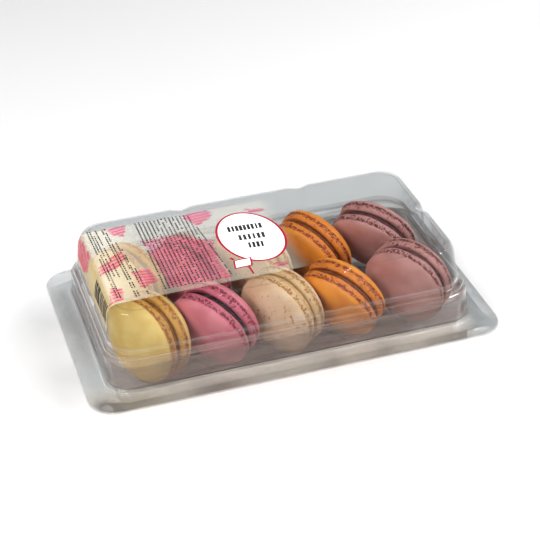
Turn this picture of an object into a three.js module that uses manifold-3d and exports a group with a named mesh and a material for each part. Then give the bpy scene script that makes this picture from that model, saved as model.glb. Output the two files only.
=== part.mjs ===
// A clear press-on food pack with ten macarons in two rows of five.
//
// Units are millimetres. X runs along the pack, Y from its front to its back and Z up.
// The origin is the middle of the tray's underside, where the pack stands.
//
// The tray and the lid are thin moulded sheets. Each is a chain of rounded-rectangle rings
// that runs over the upper surface from its middle to the rim and back under it.
// A macaron is two domed shells with a ruffled foot and a filling between them.
// The printed film is a thin sheet that lies on the lid's top and runs down its left end.

import * as THREE from 'three';
import * as BufferGeometryUtils from 'three/addons/utils/BufferGeometryUtils.js';
import Module from 'manifold-3d';

const wasm = await Module();
wasm.setup();

// Driving dimensions of the pack
const FLANGE_LENGTH = 215;
const FLANGE_WIDTH = 135;
const SHEET = 0.6;
const CLEARANCE = 0.3;
const TRAY_DEPTH = 12.5;
const LID_RIM_SETBACK = 0.4;

// Heights that follow from the sheets lying on each other
const TRAY_FLANGE_TOP = TRAY_DEPTH + SHEET;
const LID_FLANGE_TOP = TRAY_FLANGE_TOP + CLEARANCE + SHEET;

// Lid rings from the top to the rim: inset from the rim along X and Y, height above the lid's
// flange, corner radius, and how much of the grooves' full depth the ring has
const LID_RINGS = [
  { insetX: 21.2, insetY: 23.9, height: 39.5, corner: 10.5, groove: 1 },
  { insetX: 18.5, insetY: 21.2, height: 38.5, corner: 12, groove: 1 },
  { insetX: 17.1, insetY: 19.8, height: 35, corner: 13, groove: 1 },
  { insetX: 15.7, insetY: 17.5, height: 23, corner: 14, groove: 1 },
  { insetX: 15.4, insetY: 17.1, height: 20, corner: 14, groove: 0 },
  { insetX: 15.1, insetY: 16.8, height: 18.4, corner: 14.5, groove: 0 },
  { insetX: 13.2, insetY: 14.7, height: 17.6, corner: 15.5, groove: 0 },
  { insetX: 13.0, insetY: 14.4, height: 16.1, corner: 15.5, groove: 0 },
  { insetX: 12.1, insetY: 13.5, height: 15.4, corner: 15, groove: 0 },
  { insetX: 11.6, insetY: 12.5, height: 1.5, corner: 13, groove: 0 },
  { insetX: 10.8, insetY: 11.7, height: 1.3, corner: 13, groove: 0 },
  { insetX: 10.4, insetY: 11.3, height: 0, corner: 13, groove: 0 },
  { insetX: 0, insetY: 0, height: 0, corner: 14, groove: 0 },
];

// Tray rings from the floor to the rim, with heights above the tray's flange
const TRAY_RINGS = [
  { insetX: 18.6, insetY: 19.8, height: -TRAY_DEPTH, corner: 8, groove: 0 },
  { insetX: 17.2, insetY: 18.4, height: -TRAY_DEPTH + 1.4, corner: 9.5, groove: 0 },
  { insetX: 15.9, insetY: 17.0, height: 12.6, corner: 12, groove: 0 },
  { insetX: 13.7, insetY: 15.0, height: 12.9, corner: 14, groove: 0 },
  { insetX: 13.0, insetY: 13.9, height: 0, corner: 13, groove: 0 },
  { insetX: 0, insetY: 0, height: 0, corner: 14, groove: 0 },
];

// Upright grooves in the lid's walls: two on each long side and one in each end
const GROOVE_DEPTH = 2.4;
const GROOVE_HALF_WIDTH = 6.2;
const GROOVE_X = 32.8;
const GROOVE_STEPS = [-1, -0.5, 0, 0.5, 1];
const CORNER_STEPS = 6;

// Smallest share of a miter that a sheet's thickness is divided by at a sharp fold
const MITER_LIMIT = 0.5;

// Printed film on the lid: how far it reaches along X on the top, down the left end and along Y
const FILM_THICKNESS = 0.25;
const FILM_RIGHT_X = 16;
const FILM_LOW_HEIGHT = 24;
const FILM_HALF_WIDTH = 35.5;
const FILM_CROSS_SHARES = [-1, -0.94, -0.88, -0.82, 0, 0.82, 0.88, 0.94, 1];

// Tray relief under the food: a ridge between the rows and slanting ribs between neighbours
const RIDGE = { base: 9, top: 3.5, height: 6.5, length: 168 };
const RIB = { base: 7.5, top: 2.5, height: 5.5, length: 32 };
const RELIEF_SINK = 0.3;
const RELIEF_CUT = 1;

// Macaron form
const FILLING_HALF_THICKNESS = 1.8;
const FILLING_RECESS = 2.6;
const FILLING_BULGE = 0.5;
const FOOT_HEIGHT = 3.4;
const FOOT_UNDERCUT = 1.6;
const FOOT_WIDEST_SHARE = 0.4;
const CREASE_DEPTH = 0.7;
const SHELL_SETBACK = 0.1;
const MACARON_STEPS = 20;
const DOME_RINGS = 4;
const DOME_FULLNESS = 0.62;
const DOME_FIRST_STEP = 0.35;

// Waves of the foot's ruffle: how far it swings, how often each wave goes round, its share of
// the swing, and how far it shifts from shell to shell
const FOOT_RUFFLE = 0.45;
const CREASE_RUFFLE = 0.22;
const RUFFLE_WAVES = [
  { count: 5, share: 0.6, shift: 1.7 },
  { count: 8, share: 0.4, shift: 2.9 },
];

// The macarons as they stand. x, y and z place the middle, with z above the lid's flange. tilt is
// how far the axis rises towards the right, and yaw how far it turns to the back, in degrees.
const MACARONS = [
  { row: 'front', colour: 'yellow', x: -68.8, y: -24.6, z: 9.6, tilt: -2, yaw: 30, size: 45.2, thick: 27 },
  { row: 'front', colour: 'pink', x: -34.1, y: -24.5, z: 10.0, tilt: 17.5, yaw: 36, size: 45, thick: 26.5 },
  { row: 'front', colour: 'cream', x: 1.5, y: -24.6, z: 9.9, tilt: 7, yaw: 33, size: 44.8, thick: 23.5 },
  { row: 'front', colour: 'amber', x: 33.8, y: -24.5, z: 9.8, tilt: 24, yaw: 34, size: 45, thick: 24 },
  { row: 'front', colour: 'mauve', x: 70.8, y: -23.6, z: 11.4, tilt: 11, yaw: 39, size: 45.2, thick: 22.5 },
  { row: 'back', colour: 'yellow', x: -69.3, y: 23.2, z: 10.9, tilt: -5, yaw: 35, size: 44.8, thick: 23 },
  { row: 'back', colour: 'pink', x: -34.5, y: 23.5, z: 10.4, tilt: 14, yaw: 34, size: 44.6, thick: 25 },
  { row: 'back', colour: 'cream', x: 0.2, y: 23.4, z: 10.6, tilt: 12, yaw: 32, size: 45, thick: 24 },
  { row: 'back', colour: 'amber', x: 33.1, y: 23.3, z: 10.7, tilt: 20, yaw: 30, size: 45, thick: 25 },
  { row: 'back', colour: 'mauve', x: 68.8, y: 23.5, z: 11.9, tilt: 27, yaw: 42, size: 44.8, thick: 22.5 },
];

// Colours of shell and filling
const MACARON_COLOURS = {
  yellow: { shell: 0xe0bf62, filling: 0xa87a2c },
  pink: { shell: 0xc5688f, filling: 0x33101c },
  cream: { shell: 0xdcc8a8, filling: 0xa98455 },
  amber: { shell: 0xe08a28, filling: 0x8a4a20 },
  mauve: { shell: 0xb98a8a, filling: 0x4a2a2c },
};

const DEGREE = Math.PI / 180;

/** Position along a straight side, from its middle, of each point that a ring has there. */
function sideStations(grooveCentres) {
  const stations = [];
  for (const centre of grooveCentres) {
    for (const step of GROOVE_STEPS) {
      stations.push(centre + step * GROOVE_HALF_WIDTH);
    }
  }
  return stations;
}

const LONG_SIDE_STATIONS = sideStations([-GROOVE_X, GROOVE_X]);
const SHORT_SIDE_STATIONS = sideStations([0]);

/** How far a groove pushes a wall in at a distance from the groove's middle. */
function grooveDepthAt(position, grooveCentres) {
  let depth = 0;
  for (const centre of grooveCentres) {
    const away = Math.abs(position - centre);
    if (away < GROOVE_HALF_WIDTH) {
      depth += GROOVE_DEPTH * 0.5 * (1 + Math.cos((Math.PI * away) / GROOVE_HALF_WIDTH));
    }
  }
  return depth;
}

/** One rounded rectangle, anticlockwise from above, with grooves in its sides. */
function ringPoints(halfX, halfY, corner, groove, z) {
  const points = [];
  const sides = [
    { angle: 0, half: halfX, run: halfY, stations: SHORT_SIDE_STATIONS, grooves: [0] },
    { angle: 90, half: halfY, run: halfX, stations: LONG_SIDE_STATIONS, grooves: [-GROOVE_X, GROOVE_X] },
    { angle: 180, half: halfX, run: halfY, stations: SHORT_SIDE_STATIONS, grooves: [0] },
    { angle: 270, half: halfY, run: halfX, stations: LONG_SIDE_STATIONS, grooves: [-GROOVE_X, GROOVE_X] },
  ];
  for (const side of sides) {
    const cos = Math.cos(side.angle * DEGREE);
    const sin = Math.sin(side.angle * DEGREE);
    const place = (out, along) => points.push(
      new THREE.Vector3(out * cos - along * sin, out * sin + along * cos, z),
    );
    for (const along of side.stations) {
      place(side.half - groove * grooveDepthAt(along, side.grooves), along);
    }
    for (let step = 0; step <= CORNER_STEPS; step += 1) {
      const turn = (step / CORNER_STEPS) * Math.PI * 0.5;
      place(
        side.half - corner + corner * Math.cos(turn),
        side.run - corner + corner * Math.sin(turn),
      );
    }
  }
  return points;
}

/** Faces from lists of points and triangles, turned so that they point out. */
function closedGeometry(points, triangles) {
  let volume = 0;
  for (const [a, b, c] of triangles) {
    volume += points[a].dot(new THREE.Vector3().crossVectors(points[b], points[c]));
  }
  const index = volume > 0 ? triangles.flat() : triangles.flatMap(([a, b, c]) => [a, c, b]);
  const geometry = new THREE.BufferGeometry();
  const positions = points.flatMap((point) => [point.x, point.y, point.z]);
  geometry.setAttribute('position', new THREE.Float32BufferAttribute(positions, 3));
  geometry.setIndex(index);
  return geometry;
}

/** A closed body from rings of equal length, with a point that closes each end. */
function ringChain(rings, firstPole, lastPole) {
  const count = rings[0].length;
  const points = [...rings.flat(), firstPole, lastPole];
  const first = points.length - 2;
  const last = points.length - 1;
  const triangles = [];
  for (let step = 0; step < count; step += 1) {
    const next = (step + 1) % count;
    triangles.push([first, step, next]);
    for (let ring = 0; ring + 1 < rings.length; ring += 1) {
      const here = ring * count;
      const beyond = here + count;
      triangles.push([here + step, beyond + step, beyond + next]);
      triangles.push([here + step, beyond + next, here + next]);
    }
    const end = (rings.length - 1) * count;
    triangles.push([last, end + next, end + step]);
  }
  return closedGeometry(points, triangles);
}

/** Direction out of a sheet's lower face between two of its rings, as a step out and a step up. */
function lowerNormal(from, to) {
  const outwards = (from.insetX + from.insetY - to.insetX - to.insetY) / 2;
  return new THREE.Vector2(to.height - from.height, -outwards).normalize();
}

/** Step from a sheet's upper face to its lower one at a ring, for a sheet one unit thick. */
function sheetStep(rings, index) {
  const level = new THREE.Vector2(0, -1);
  const inner = index > 0 ? lowerNormal(rings[index - 1], rings[index]) : level;
  const outer = index < rings.length - 1 ? lowerNormal(rings[index], rings[index + 1]) : level;
  const miter = new THREE.Vector2().addVectors(inner, outer).normalize();
  return miter.divideScalar(Math.max(miter.dot(inner), MITER_LIMIT));
}

/** A moulded sheet whose upper face follows the rings and whose lower face is one sheet below. */
function mouldedSheet(rings, flangeTop, setback) {
  const halfX = FLANGE_LENGTH / 2 - setback;
  const halfY = FLANGE_WIDTH / 2 - setback;
  const faceRings = (offset) => rings.map((ring, index) => {
    const step = sheetStep(rings, index).multiplyScalar(offset);
    return ringPoints(
      halfX - ring.insetX + step.x,
      halfY - ring.insetY + step.x,
      ring.corner,
      ring.groove,
      flangeTop + ring.height + step.y,
    );
  });
  const upper = faceRings(0);
  const lower = faceRings(SHEET).reverse();
  const centre = flangeTop + rings[0].height;
  return ringChain(
    [...upper, ...lower],
    new THREE.Vector3(0, 0, centre),
    new THREE.Vector3(0, 0, centre - SHEET),
  );
}

function toManifold(geometry) {
  const bare = geometry.clone();
  bare.deleteAttribute('normal');
  bare.deleteAttribute('uv');
  const merged = BufferGeometryUtils.mergeVertices(bare, 1e-4);
  return new wasm.Manifold(new wasm.Mesh({
    numProp: 3,
    vertProperties: new Float32Array(merged.attributes.position.array),
    triVerts: new Uint32Array(merged.index.array),
  }));
}

function fromManifold(solid) {
  const mesh = solid.getMesh();
  const positions = new Float32Array(mesh.vertProperties);
  const geometry = new THREE.BufferGeometry();
  geometry.setAttribute('position', new THREE.BufferAttribute(positions, 3));
  geometry.setIndex(new THREE.BufferAttribute(new Uint32Array(mesh.triVerts), 1));
  return geometry;
}

/** A bar of trapezium section whose underside is at a given height, turned about Z. */
function trapeziumBar(base, top, height, length, underside, placement) {
  const shape = new THREE.Shape([
    new THREE.Vector2(-base / 2, 0),
    new THREE.Vector2(base / 2, 0),
    new THREE.Vector2(top / 2, height),
    new THREE.Vector2(-top / 2, height),
  ]);
  const bar = new THREE.ExtrudeGeometry(shape, { depth: length, bevelEnabled: false });
  bar.translate(0, 0, -length / 2);
  bar.rotateX(Math.PI / 2);
  bar.rotateZ(placement.turn);
  bar.translate(placement.x, placement.y, underside);
  return bar;
}

/** A ridge moulded up from the floor: its outer bar and the hollow under the sheet. */
function reliefPair(size, placement) {
  const outer = trapeziumBar(
    size.base, size.top, size.height - SHEET + RELIEF_SINK, size.length, SHEET - RELIEF_SINK, placement,
  );
  const flare = ((size.base - size.top) / size.height) * (RELIEF_CUT + SHEET);
  const hollow = trapeziumBar(
    size.base - 2 * SHEET + flare, size.top - SHEET, size.height - SHEET + RELIEF_CUT,
    size.length - 2 * SHEET, -RELIEF_CUT, placement,
  );
  return { outer, hollow };
}

/** Axis, level crosswise and upward directions of a standing macaron. */
function macaronBasis(macaron) {
  const tilt = macaron.tilt * DEGREE;
  const yaw = macaron.yaw * DEGREE;
  const axis = new THREE.Vector3(
    Math.cos(tilt) * Math.cos(yaw), Math.cos(tilt) * Math.sin(yaw), Math.sin(tilt),
  );
  const across = new THREE.Vector3(-Math.sin(yaw), Math.cos(yaw), 0);
  const upward = new THREE.Vector3().crossVectors(axis, across);
  return { axis, across, upward };
}

/** Where the lowest part of a macaron's rim lies on the floor. */
function footprint(macaron) {
  const { upward } = macaronBasis(macaron);
  return new THREE.Vector3(macaron.x, macaron.y, 0).addScaledVector(upward, -macaron.size / 2).setZ(0);
}

/** Placements of the ribs between the neighbours of a row. */
function ribPlacements(row) {
  const placements = [];
  const macarons = MACARONS.filter((macaron) => macaron.row === row);
  for (let index = 0; index + 1 < macarons.length; index += 1) {
    const middle = footprint(macarons[index]).add(footprint(macarons[index + 1])).multiplyScalar(0.5);
    const yaw = (macarons[index].yaw + macarons[index + 1].yaw) / 2;
    placements.push({ x: middle.x, y: middle.y, turn: yaw * DEGREE });
  }
  return placements;
}

function trayGeometry() {
  const ridge = reliefPair(RIDGE, { x: 0, y: 0, turn: Math.PI / 2 });
  const ribs = ['front', 'back'].flatMap(ribPlacements).map((placement) => reliefPair(RIB, placement));
  const reliefs = [ridge, ...ribs];
  let solid = toManifold(mouldedSheet(TRAY_RINGS, TRAY_FLANGE_TOP, 0));
  for (const relief of reliefs) {
    solid = solid.add(toManifold(relief.outer));
  }
  for (const relief of reliefs) {
    solid = solid.subtract(toManifold(relief.hollow));
  }
  return fromManifold(solid);
}

/** Steps of the film's path, from low on the left end, over the edge and along the top. */
function filmPath() {
  const halfX = FLANGE_LENGTH / 2 - LID_RIM_SETBACK;
  const halfY = FLANGE_WIDTH / 2 - LID_RIM_SETBACK;
  const above = LID_RINGS.filter((ring) => ring.height > FILM_LOW_HEIGHT);
  const first = above[above.length - 1];
  const low = LID_RINGS[above.length];
  const share = (FILM_LOW_HEIGHT - low.height) / (first.height - low.height);
  const mix = (key) => low[key] + (first[key] - low[key]) * share;
  const edge = {
    insetX: mix('insetX'),
    insetY: mix('insetY'),
    height: FILM_LOW_HEIGHT,
    corner: mix('corner'),
  };
  return [edge, ...above.reverse()].map((ring) => ({
    x: -(halfX - ring.insetX),
    halfY: halfY - ring.insetY,
    corner: ring.corner,
    z: LID_FLANGE_TOP + ring.height,
  }));
}

/** Thin film that lies just clear of the lid, flat on its top and round its left end. */
function filmGeometry() {
  const path = filmPath();
  const crosswise = FILM_CROSS_SHARES.map((share) => share * FILM_HALF_WIDTH);
  const wallDirection = (index) => {
    const before = path[Math.max(index - 1, 0)];
    const after = path[Math.min(index + 1, path.length - 1)];
    const run = new THREE.Vector2(after.x - before.x, after.z - before.z).normalize();
    return new THREE.Vector2(-run.y, run.x);
  };
  const layer = (offset) => {
    const rows = path.map((station, index) => {
      const out = index === path.length - 1 ? new THREE.Vector2(0, 1) : wallDirection(index);
      return crosswise.map((y) => {
        const beyond = Math.max(Math.abs(y) - (station.halfY - station.corner), 0);
        const turnedIn = station.corner - Math.sqrt(Math.max(station.corner ** 2 - beyond ** 2, 0));
        return new THREE.Vector3(
          station.x + turnedIn + out.x * offset,
          y,
          station.z + out.y * offset,
        );
      });
    });
    const top = path[path.length - 1].z + offset;
    rows.push(crosswise.map((y) => new THREE.Vector3(FILM_RIGHT_X, y, top)));
    return rows;
  };
  const inner = layer(CLEARANCE);
  const outer = layer(CLEARANCE + FILM_THICKNESS);
  const loops = inner.map((row, index) => [...row, ...[...outer[index]].reverse()]);
  return stripChain(loops);
}

/** A closed body from thin loops, each end closed by strips between the loop's two faces. */
function stripChain(loops) {
  const count = loops[0].length;
  const points = loops.flat();
  const triangles = [];
  for (let loop = 0; loop + 1 < loops.length; loop += 1) {
    for (let step = 0; step < count; step += 1) {
      const next = (step + 1) % count;
      const here = loop * count;
      const beyond = here + count;
      triangles.push([here + step, beyond + step, beyond + next]);
      triangles.push([here + step, beyond + next, here + next]);
    }
  }
  const closeEnd = (start, reversed) => {
    for (let step = 0; step + 1 < count / 2; step += 1) {
      const quad = [start + step, start + step + 1, start + count - 2 - step, start + count - 1 - step];
      const pair = [[quad[0], quad[1], quad[2]], [quad[0], quad[2], quad[3]]];
      triangles.push(...(reversed ? pair.map(([a, b, c]) => [a, c, b]) : pair));
    }
  };
  closeEnd(0, false);
  closeEnd((loops.length - 1) * count, true);
  return closedGeometry(points, triangles);
}

/** Wavy rim of a macaron's foot at an angle, between -1 and 1, unlike on any other shell. */
function ruffle(angle, seed) {
  let swing = 0;
  for (const wave of RUFFLE_WAVES) {
    swing += wave.share * Math.sin(wave.count * angle + seed * wave.shift);
  }
  return swing;
}

/** One ring round a macaron's axis. */
function discRing(radius, height, waviness, seed) {
  const points = [];
  for (let step = 0; step < MACARON_STEPS; step += 1) {
    const angle = (step / MACARON_STEPS) * 2 * Math.PI;
    const reach = radius + waviness * ruffle(angle, seed);
    points.push(new THREE.Vector3(reach * Math.cos(angle), reach * Math.sin(angle), height));
  }
  return points;
}

/** A domed shell on its ruffled foot, rising along +Z from the filling's middle. */
function shellGeometry(radius, halfThickness, seed) {
  const face = FILLING_HALF_THICKNESS;
  const footTop = face + FOOT_HEIGHT;
  const rings = [
    discRing(radius - FOOT_UNDERCUT, face, FOOT_RUFFLE, seed),
    discRing(radius - SHELL_SETBACK, face + FOOT_HEIGHT * FOOT_WIDEST_SHARE, FOOT_RUFFLE, seed),
    discRing(radius - CREASE_DEPTH, footTop, CREASE_RUFFLE, seed),
  ];
  for (let ring = 0; ring < DOME_RINGS; ring += 1) {
    const rise = ((ring + DOME_FIRST_STEP) / DOME_RINGS) * Math.PI * 0.5;
    const reach = (radius - SHELL_SETBACK) * Math.cos(rise) ** DOME_FULLNESS;
    rings.push(discRing(reach, footTop + (halfThickness - footTop) * Math.sin(rise), 0, seed));
  }
  return ringChain(rings, new THREE.Vector3(0, 0, face), new THREE.Vector3(0, 0, halfThickness));
}

/** The filling's disc, which bulges a little at its edge. */
function fillingGeometry(radius) {
  const half = FILLING_HALF_THICKNESS - CLEARANCE;
  const edge = radius - FILLING_RECESS;
  const rings = [
    discRing(edge, -half, 0, 0),
    discRing(edge + FILLING_BULGE, 0, 0, 0),
    discRing(edge, half, 0, 0),
  ];
  return ringChain(rings, new THREE.Vector3(0, 0, -half), new THREE.Vector3(0, 0, half));
}

function clearPlastic() {
  return new THREE.MeshStandardMaterial({
    color: 0xd5dbd9, roughness: 0.08, metalness: 0, transparent: true, opacity: 0.35,
  });
}

function foodMaterial(color, roughness) {
  return new THREE.MeshStandardMaterial({ color, roughness, metalness: 0 });
}

/** Two shells and a filling, placed and turned together. */
function macaronGroup(macaron, index) {
  const group = new THREE.Group();
  const prefix = `${macaron.colour}_${macaron.row}`;
  const colours = MACARON_COLOURS[macaron.colour];
  const radius = macaron.size / 2;
  const half = macaron.thick / 2;

  const right = new THREE.Mesh(shellGeometry(radius, half, index), foodMaterial(colours.shell, 0.55));
  right.name = `${prefix}_shell_right`;
  const left = new THREE.Mesh(shellGeometry(radius, half, index + 0.5), foodMaterial(colours.shell, 0.55));
  left.name = `${prefix}_shell_left`;
  left.rotation.x = Math.PI;
  const filling = new THREE.Mesh(fillingGeometry(radius), foodMaterial(colours.filling, 0.4));
  filling.name = `${prefix}_filling`;
  group.add(right, left, filling);

  const { axis, across, upward } = macaronBasis(macaron);
  group.quaternion.setFromRotationMatrix(new THREE.Matrix4().makeBasis(across, upward, axis));
  group.position.set(macaron.x, macaron.y, LID_FLANGE_TOP + macaron.z);
  return group;
}

const pack = new THREE.Group();

const tray = new THREE.Mesh(trayGeometry(), clearPlastic());
tray.name = 'tray';
pack.add(tray);

const lid = new THREE.Mesh(mouldedSheet(LID_RINGS, LID_FLANGE_TOP, LID_RIM_SETBACK), clearPlastic());
lid.name = 'lid';
pack.add(lid);

const film = new THREE.Mesh(filmGeometry(), foodMaterial(0xe6c3cc, 0.3));
film.name = 'printed_film';
pack.add(film);

MACARONS.forEach((macaron, index) => pack.add(macaronGroup(macaron, index)));

export default pack;
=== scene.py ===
"""A clear press-on food pack with ten macarons, dressed for rendering, on a pale floor.

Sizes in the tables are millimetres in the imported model's frame: X runs along the pack, Y from its
front to its back, and Z up from the tray's underside. Meshes are made in metres.
"""

import logging
import math
import random
from dataclasses import dataclass, replace
from enum import Enum
from typing import Any, Iterable, Sequence

import bmesh
import bpy
from mathutils import Matrix, Vector, noise

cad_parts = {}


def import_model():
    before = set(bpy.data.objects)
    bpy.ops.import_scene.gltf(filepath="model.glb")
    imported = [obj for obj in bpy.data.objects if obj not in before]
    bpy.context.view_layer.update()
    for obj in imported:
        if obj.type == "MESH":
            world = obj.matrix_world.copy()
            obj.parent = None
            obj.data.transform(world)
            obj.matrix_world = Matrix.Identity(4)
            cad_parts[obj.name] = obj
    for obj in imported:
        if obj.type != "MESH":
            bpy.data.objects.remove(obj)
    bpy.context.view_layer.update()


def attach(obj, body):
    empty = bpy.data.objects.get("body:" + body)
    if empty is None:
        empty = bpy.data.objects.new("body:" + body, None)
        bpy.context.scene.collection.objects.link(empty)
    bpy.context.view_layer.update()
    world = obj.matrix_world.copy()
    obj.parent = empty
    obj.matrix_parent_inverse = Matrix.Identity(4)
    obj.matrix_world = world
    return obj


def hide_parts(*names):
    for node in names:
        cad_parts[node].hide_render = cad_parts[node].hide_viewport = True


LOG = logging.getLogger("box_of_macarons")
MM = 0.001
BODY = "root"

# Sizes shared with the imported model
FLANGE_LENGTH = 215.0
FLANGE_WIDTH = 135.0
SHEET = 0.6
CLEARANCE = 0.3
TRAY_DEPTH = 12.5
LID_RIM_SETBACK = 0.4
TRAY_FLANGE_TOP = TRAY_DEPTH + SHEET
LID_FLANGE_TOP = TRAY_FLANGE_TOP + CLEARANCE + SHEET
GROOVE_DEPTH = 2.4
GROOVE_HALF_WIDTH = 6.2
GROOVE_X = 32.8
FILM_RIGHT_X = 16.0
FILM_LOW_HEIGHT = 24.0
FILM_HALF_WIDTH = 35.5

# How far from a bend of a moulded sheet its rounding starts
SHEET_BEND = 0.9
# Thickness of a layer of ink
INK = 0.02

# Where one tone of the plastic's haze gives way to the next, along Y, X and Z. The front, right-end and
# wall tones are painted shade; the last stretch turns the bends' painted shade lines low down into
# painted highlight lines higher up
FRONT_SHADE_STRETCH = (-58.0, -40.0)
END_SHADE_STRETCH = (84.0, 98.0)
SKIRT_SHADE_STRETCH = (LID_FLANGE_TOP + 0.6, LID_FLANGE_TOP + 2.0)
PAINTED_LINE_STRETCH = (LID_FLANGE_TOP + 4.0, LID_FLANGE_TOP + 12.0)

# Values of the haze attribute at which a fold shines, a hazy stretch turns dull and a bend's painted line
# shows
FOLD_MARK = (0.025, 0.06)
DULL_MARK = (0.09, 0.13)
PAINTED_LINE_MARK = (0.25, 0.5)

RGB = tuple[float, float, float]
Point = tuple[float, float, float]
Spot = tuple[float, float]
Line = tuple[Spot, Spot]
Socket = bpy.types.NodeSocket
Material = bpy.types.Material
Piece = bpy.types.Object


def srgb(red: int, green: int, blue: int) -> RGB:
    """Turns a colour as a screen shows it into the linear values that shaders take.

    Args:
        red, green, blue: The colour's parts, from 0 to 255.

    Returns:
        The three linear parts, from 0 to 1.
    """

    def linear(part: int) -> float:
        """Turns one part."""
        share = part / 255.0
        return share / 12.92 if share <= 0.04045 else ((share + 0.055) / 1.055) ** 2.4

    return linear(red), linear(green), linear(blue)


def opaque(colour: RGB) -> tuple[float, float, float, float]:
    """Adds full alpha to a colour."""
    return (*colour, 1.0)


class Row(Enum):
    """The two rows of macarons."""

    FRONT = "front"
    BACK = "back"


class Side(Enum):
    """The two shells of a macaron, named by the way they face in the pack."""

    LEFT = "left"
    RIGHT = "right"


class Colour(Enum):
    """The colours of macaron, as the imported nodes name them."""

    YELLOW = "yellow"
    PINK = "pink"
    CREAM = "cream"
    AMBER = "amber"
    MAUVE = "mauve"


class InkLayer(Enum):
    """The layers of print, each with how far its underside lies off the film."""

    FIELDS = 0.012
    HATCHING = 0.036
    DASHES = 0.06
    OVAL_FIELD = 0.085
    TAG = 0.1
    OVAL_DASHES = 0.12
    TAG_FIELD = 0.13


class Graph:
    """A node tree that is written with short calls."""

    def __init__(self, tree: bpy.types.NodeTree) -> None:
        """Keeps the tree, without the nodes that it comes with."""
        self.tree = tree
        tree.nodes.clear()

    def node(self, kind: str, settings: dict[str, Any] | None = None, **inputs: Any) -> bpy.types.Node:
        """Adds a node, sets its options, and sets or links its inputs.

        Args:
            kind: The node's type, as Blender names it.
            settings: Options of the node itself, by name.
            inputs: Values or output sockets by input name, with _ for a space.

        Returns:
            The new node.
        """
        made = self.tree.nodes.new(kind)
        for name, value in (settings or {}).items():
            setattr(made, name, value)
        for name, value in inputs.items():
            self.feed(self.input(made, name.replace("_", " ")), value)
        return made

    def input(self, node: bpy.types.Node, name: str) -> Socket:
        """Finds the input that is in use and has this name."""
        return next(s for s in node.inputs if s.enabled and s.name.lower() == name.lower())

    def output(self, node: bpy.types.Node, name: str) -> Socket:
        """Finds the output that is in use and has this name."""
        return next(s for s in node.outputs if s.enabled and s.name.lower() == name.lower())

    def feed(self, target: Socket, value: Any) -> None:
        """Links an output socket to an input, or sets the input's value."""
        if isinstance(value, Socket):
            self.tree.links.new(value, target)
        else:
            target.default_value = value

    def math(self, operation: str, *values: Any) -> Socket:
        """Adds a Math node and returns its result."""
        made = self.tree.nodes.new("ShaderNodeMath")
        made.operation = operation
        for target, value in zip(made.inputs, values):
            self.feed(target, value)
        return made.outputs[0]

    def mix_colour(self, share: Any, first: Any, second: Any) -> Socket:
        """Mixes two colours by a share and returns the result."""
        made = self.tree.nodes.new("ShaderNodeMix")
        made.data_type = "RGBA"
        self.feed(made.inputs[0], share)
        self.feed(made.inputs[6], first)
        self.feed(made.inputs[7], second)
        return made.outputs[2]

    def mix_shader(self, share: Any, first: Any, second: Any) -> Socket:
        """Mixes two shaders by a share and returns the result."""
        made = self.tree.nodes.new("ShaderNodeMixShader")
        for target, value in zip(made.inputs, (share, first, second)):
            self.feed(target, value)
        return made.outputs[0]

    def ease_shadow(self, surface: Socket, share: float) -> Socket:
        """Lets a share of the lamps' light through a thin sheet, which scatters it onwards."""
        clear = self.node("ShaderNodeBsdfTransparent", Color=opaque((0.98, 0.98, 0.98)))
        shadow = self.output(self.node("ShaderNodeLightPath"), "Is Shadow Ray")
        return self.mix_shader(self.math("MULTIPLY", shadow, share), surface, clear.outputs[0])

    def ramp(self, value: Any, start: float, end: float, low: float = 0.0, high: float = 1.0) -> Socket:
        """Maps a value from one range to another, smoothly and clamped."""
        made = self.tree.nodes.new("ShaderNodeMapRange")
        made.interpolation_type = "SMOOTHSTEP"
        for target, part in zip(made.inputs, (value, start, end, low, high)):
            self.feed(target, part)
        return made.outputs[0]

    def stretch(self, place: Any, span: Spot, low: float = 0.0, high: float = 1.0) -> Socket:
        """Maps a stretch of a coordinate, given in millimetres, like a ramp."""
        return self.ramp(place, span[0] * MM, span[1] * MM, low, high)

    def noise(self, place: Any, size: float, detail: float = 2.0, rough: float = 0.5) -> Socket:
        """Adds noise whose features are about the given size in millimetres."""
        made = self.node(
            "ShaderNodeTexNoise", Vector=place, Scale=1.0 / (size * MM), Detail=detail, Roughness=rough
        )
        return self.output(made, "Fac")

    def object_place(self) -> Socket:
        """Returns the place on the piece, in metres from the frame's origin."""
        return self.output(self.node("ShaderNodeTexCoord"), "Object")

    def attribute(self, name: str) -> Socket:
        """Returns a number that the mesh carries at each point."""
        made = self.node("ShaderNodeAttribute", {"attribute_name": name})
        return self.output(made, "Fac")


@dataclass(frozen=True)
class Finish:
    """A material, written as a graph of nodes."""

    name: str

    def surface(self, graph: Graph) -> Socket:
        """Draws the surface and returns its shader."""
        raise NotImplementedError

    def build(self) -> Material:
        """Makes the material."""
        material = bpy.data.materials.new(self.name)
        material.use_nodes = True
        graph = Graph(material.node_tree)
        graph.node("ShaderNodeOutputMaterial", Surface=self.surface(graph))
        return material


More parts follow.
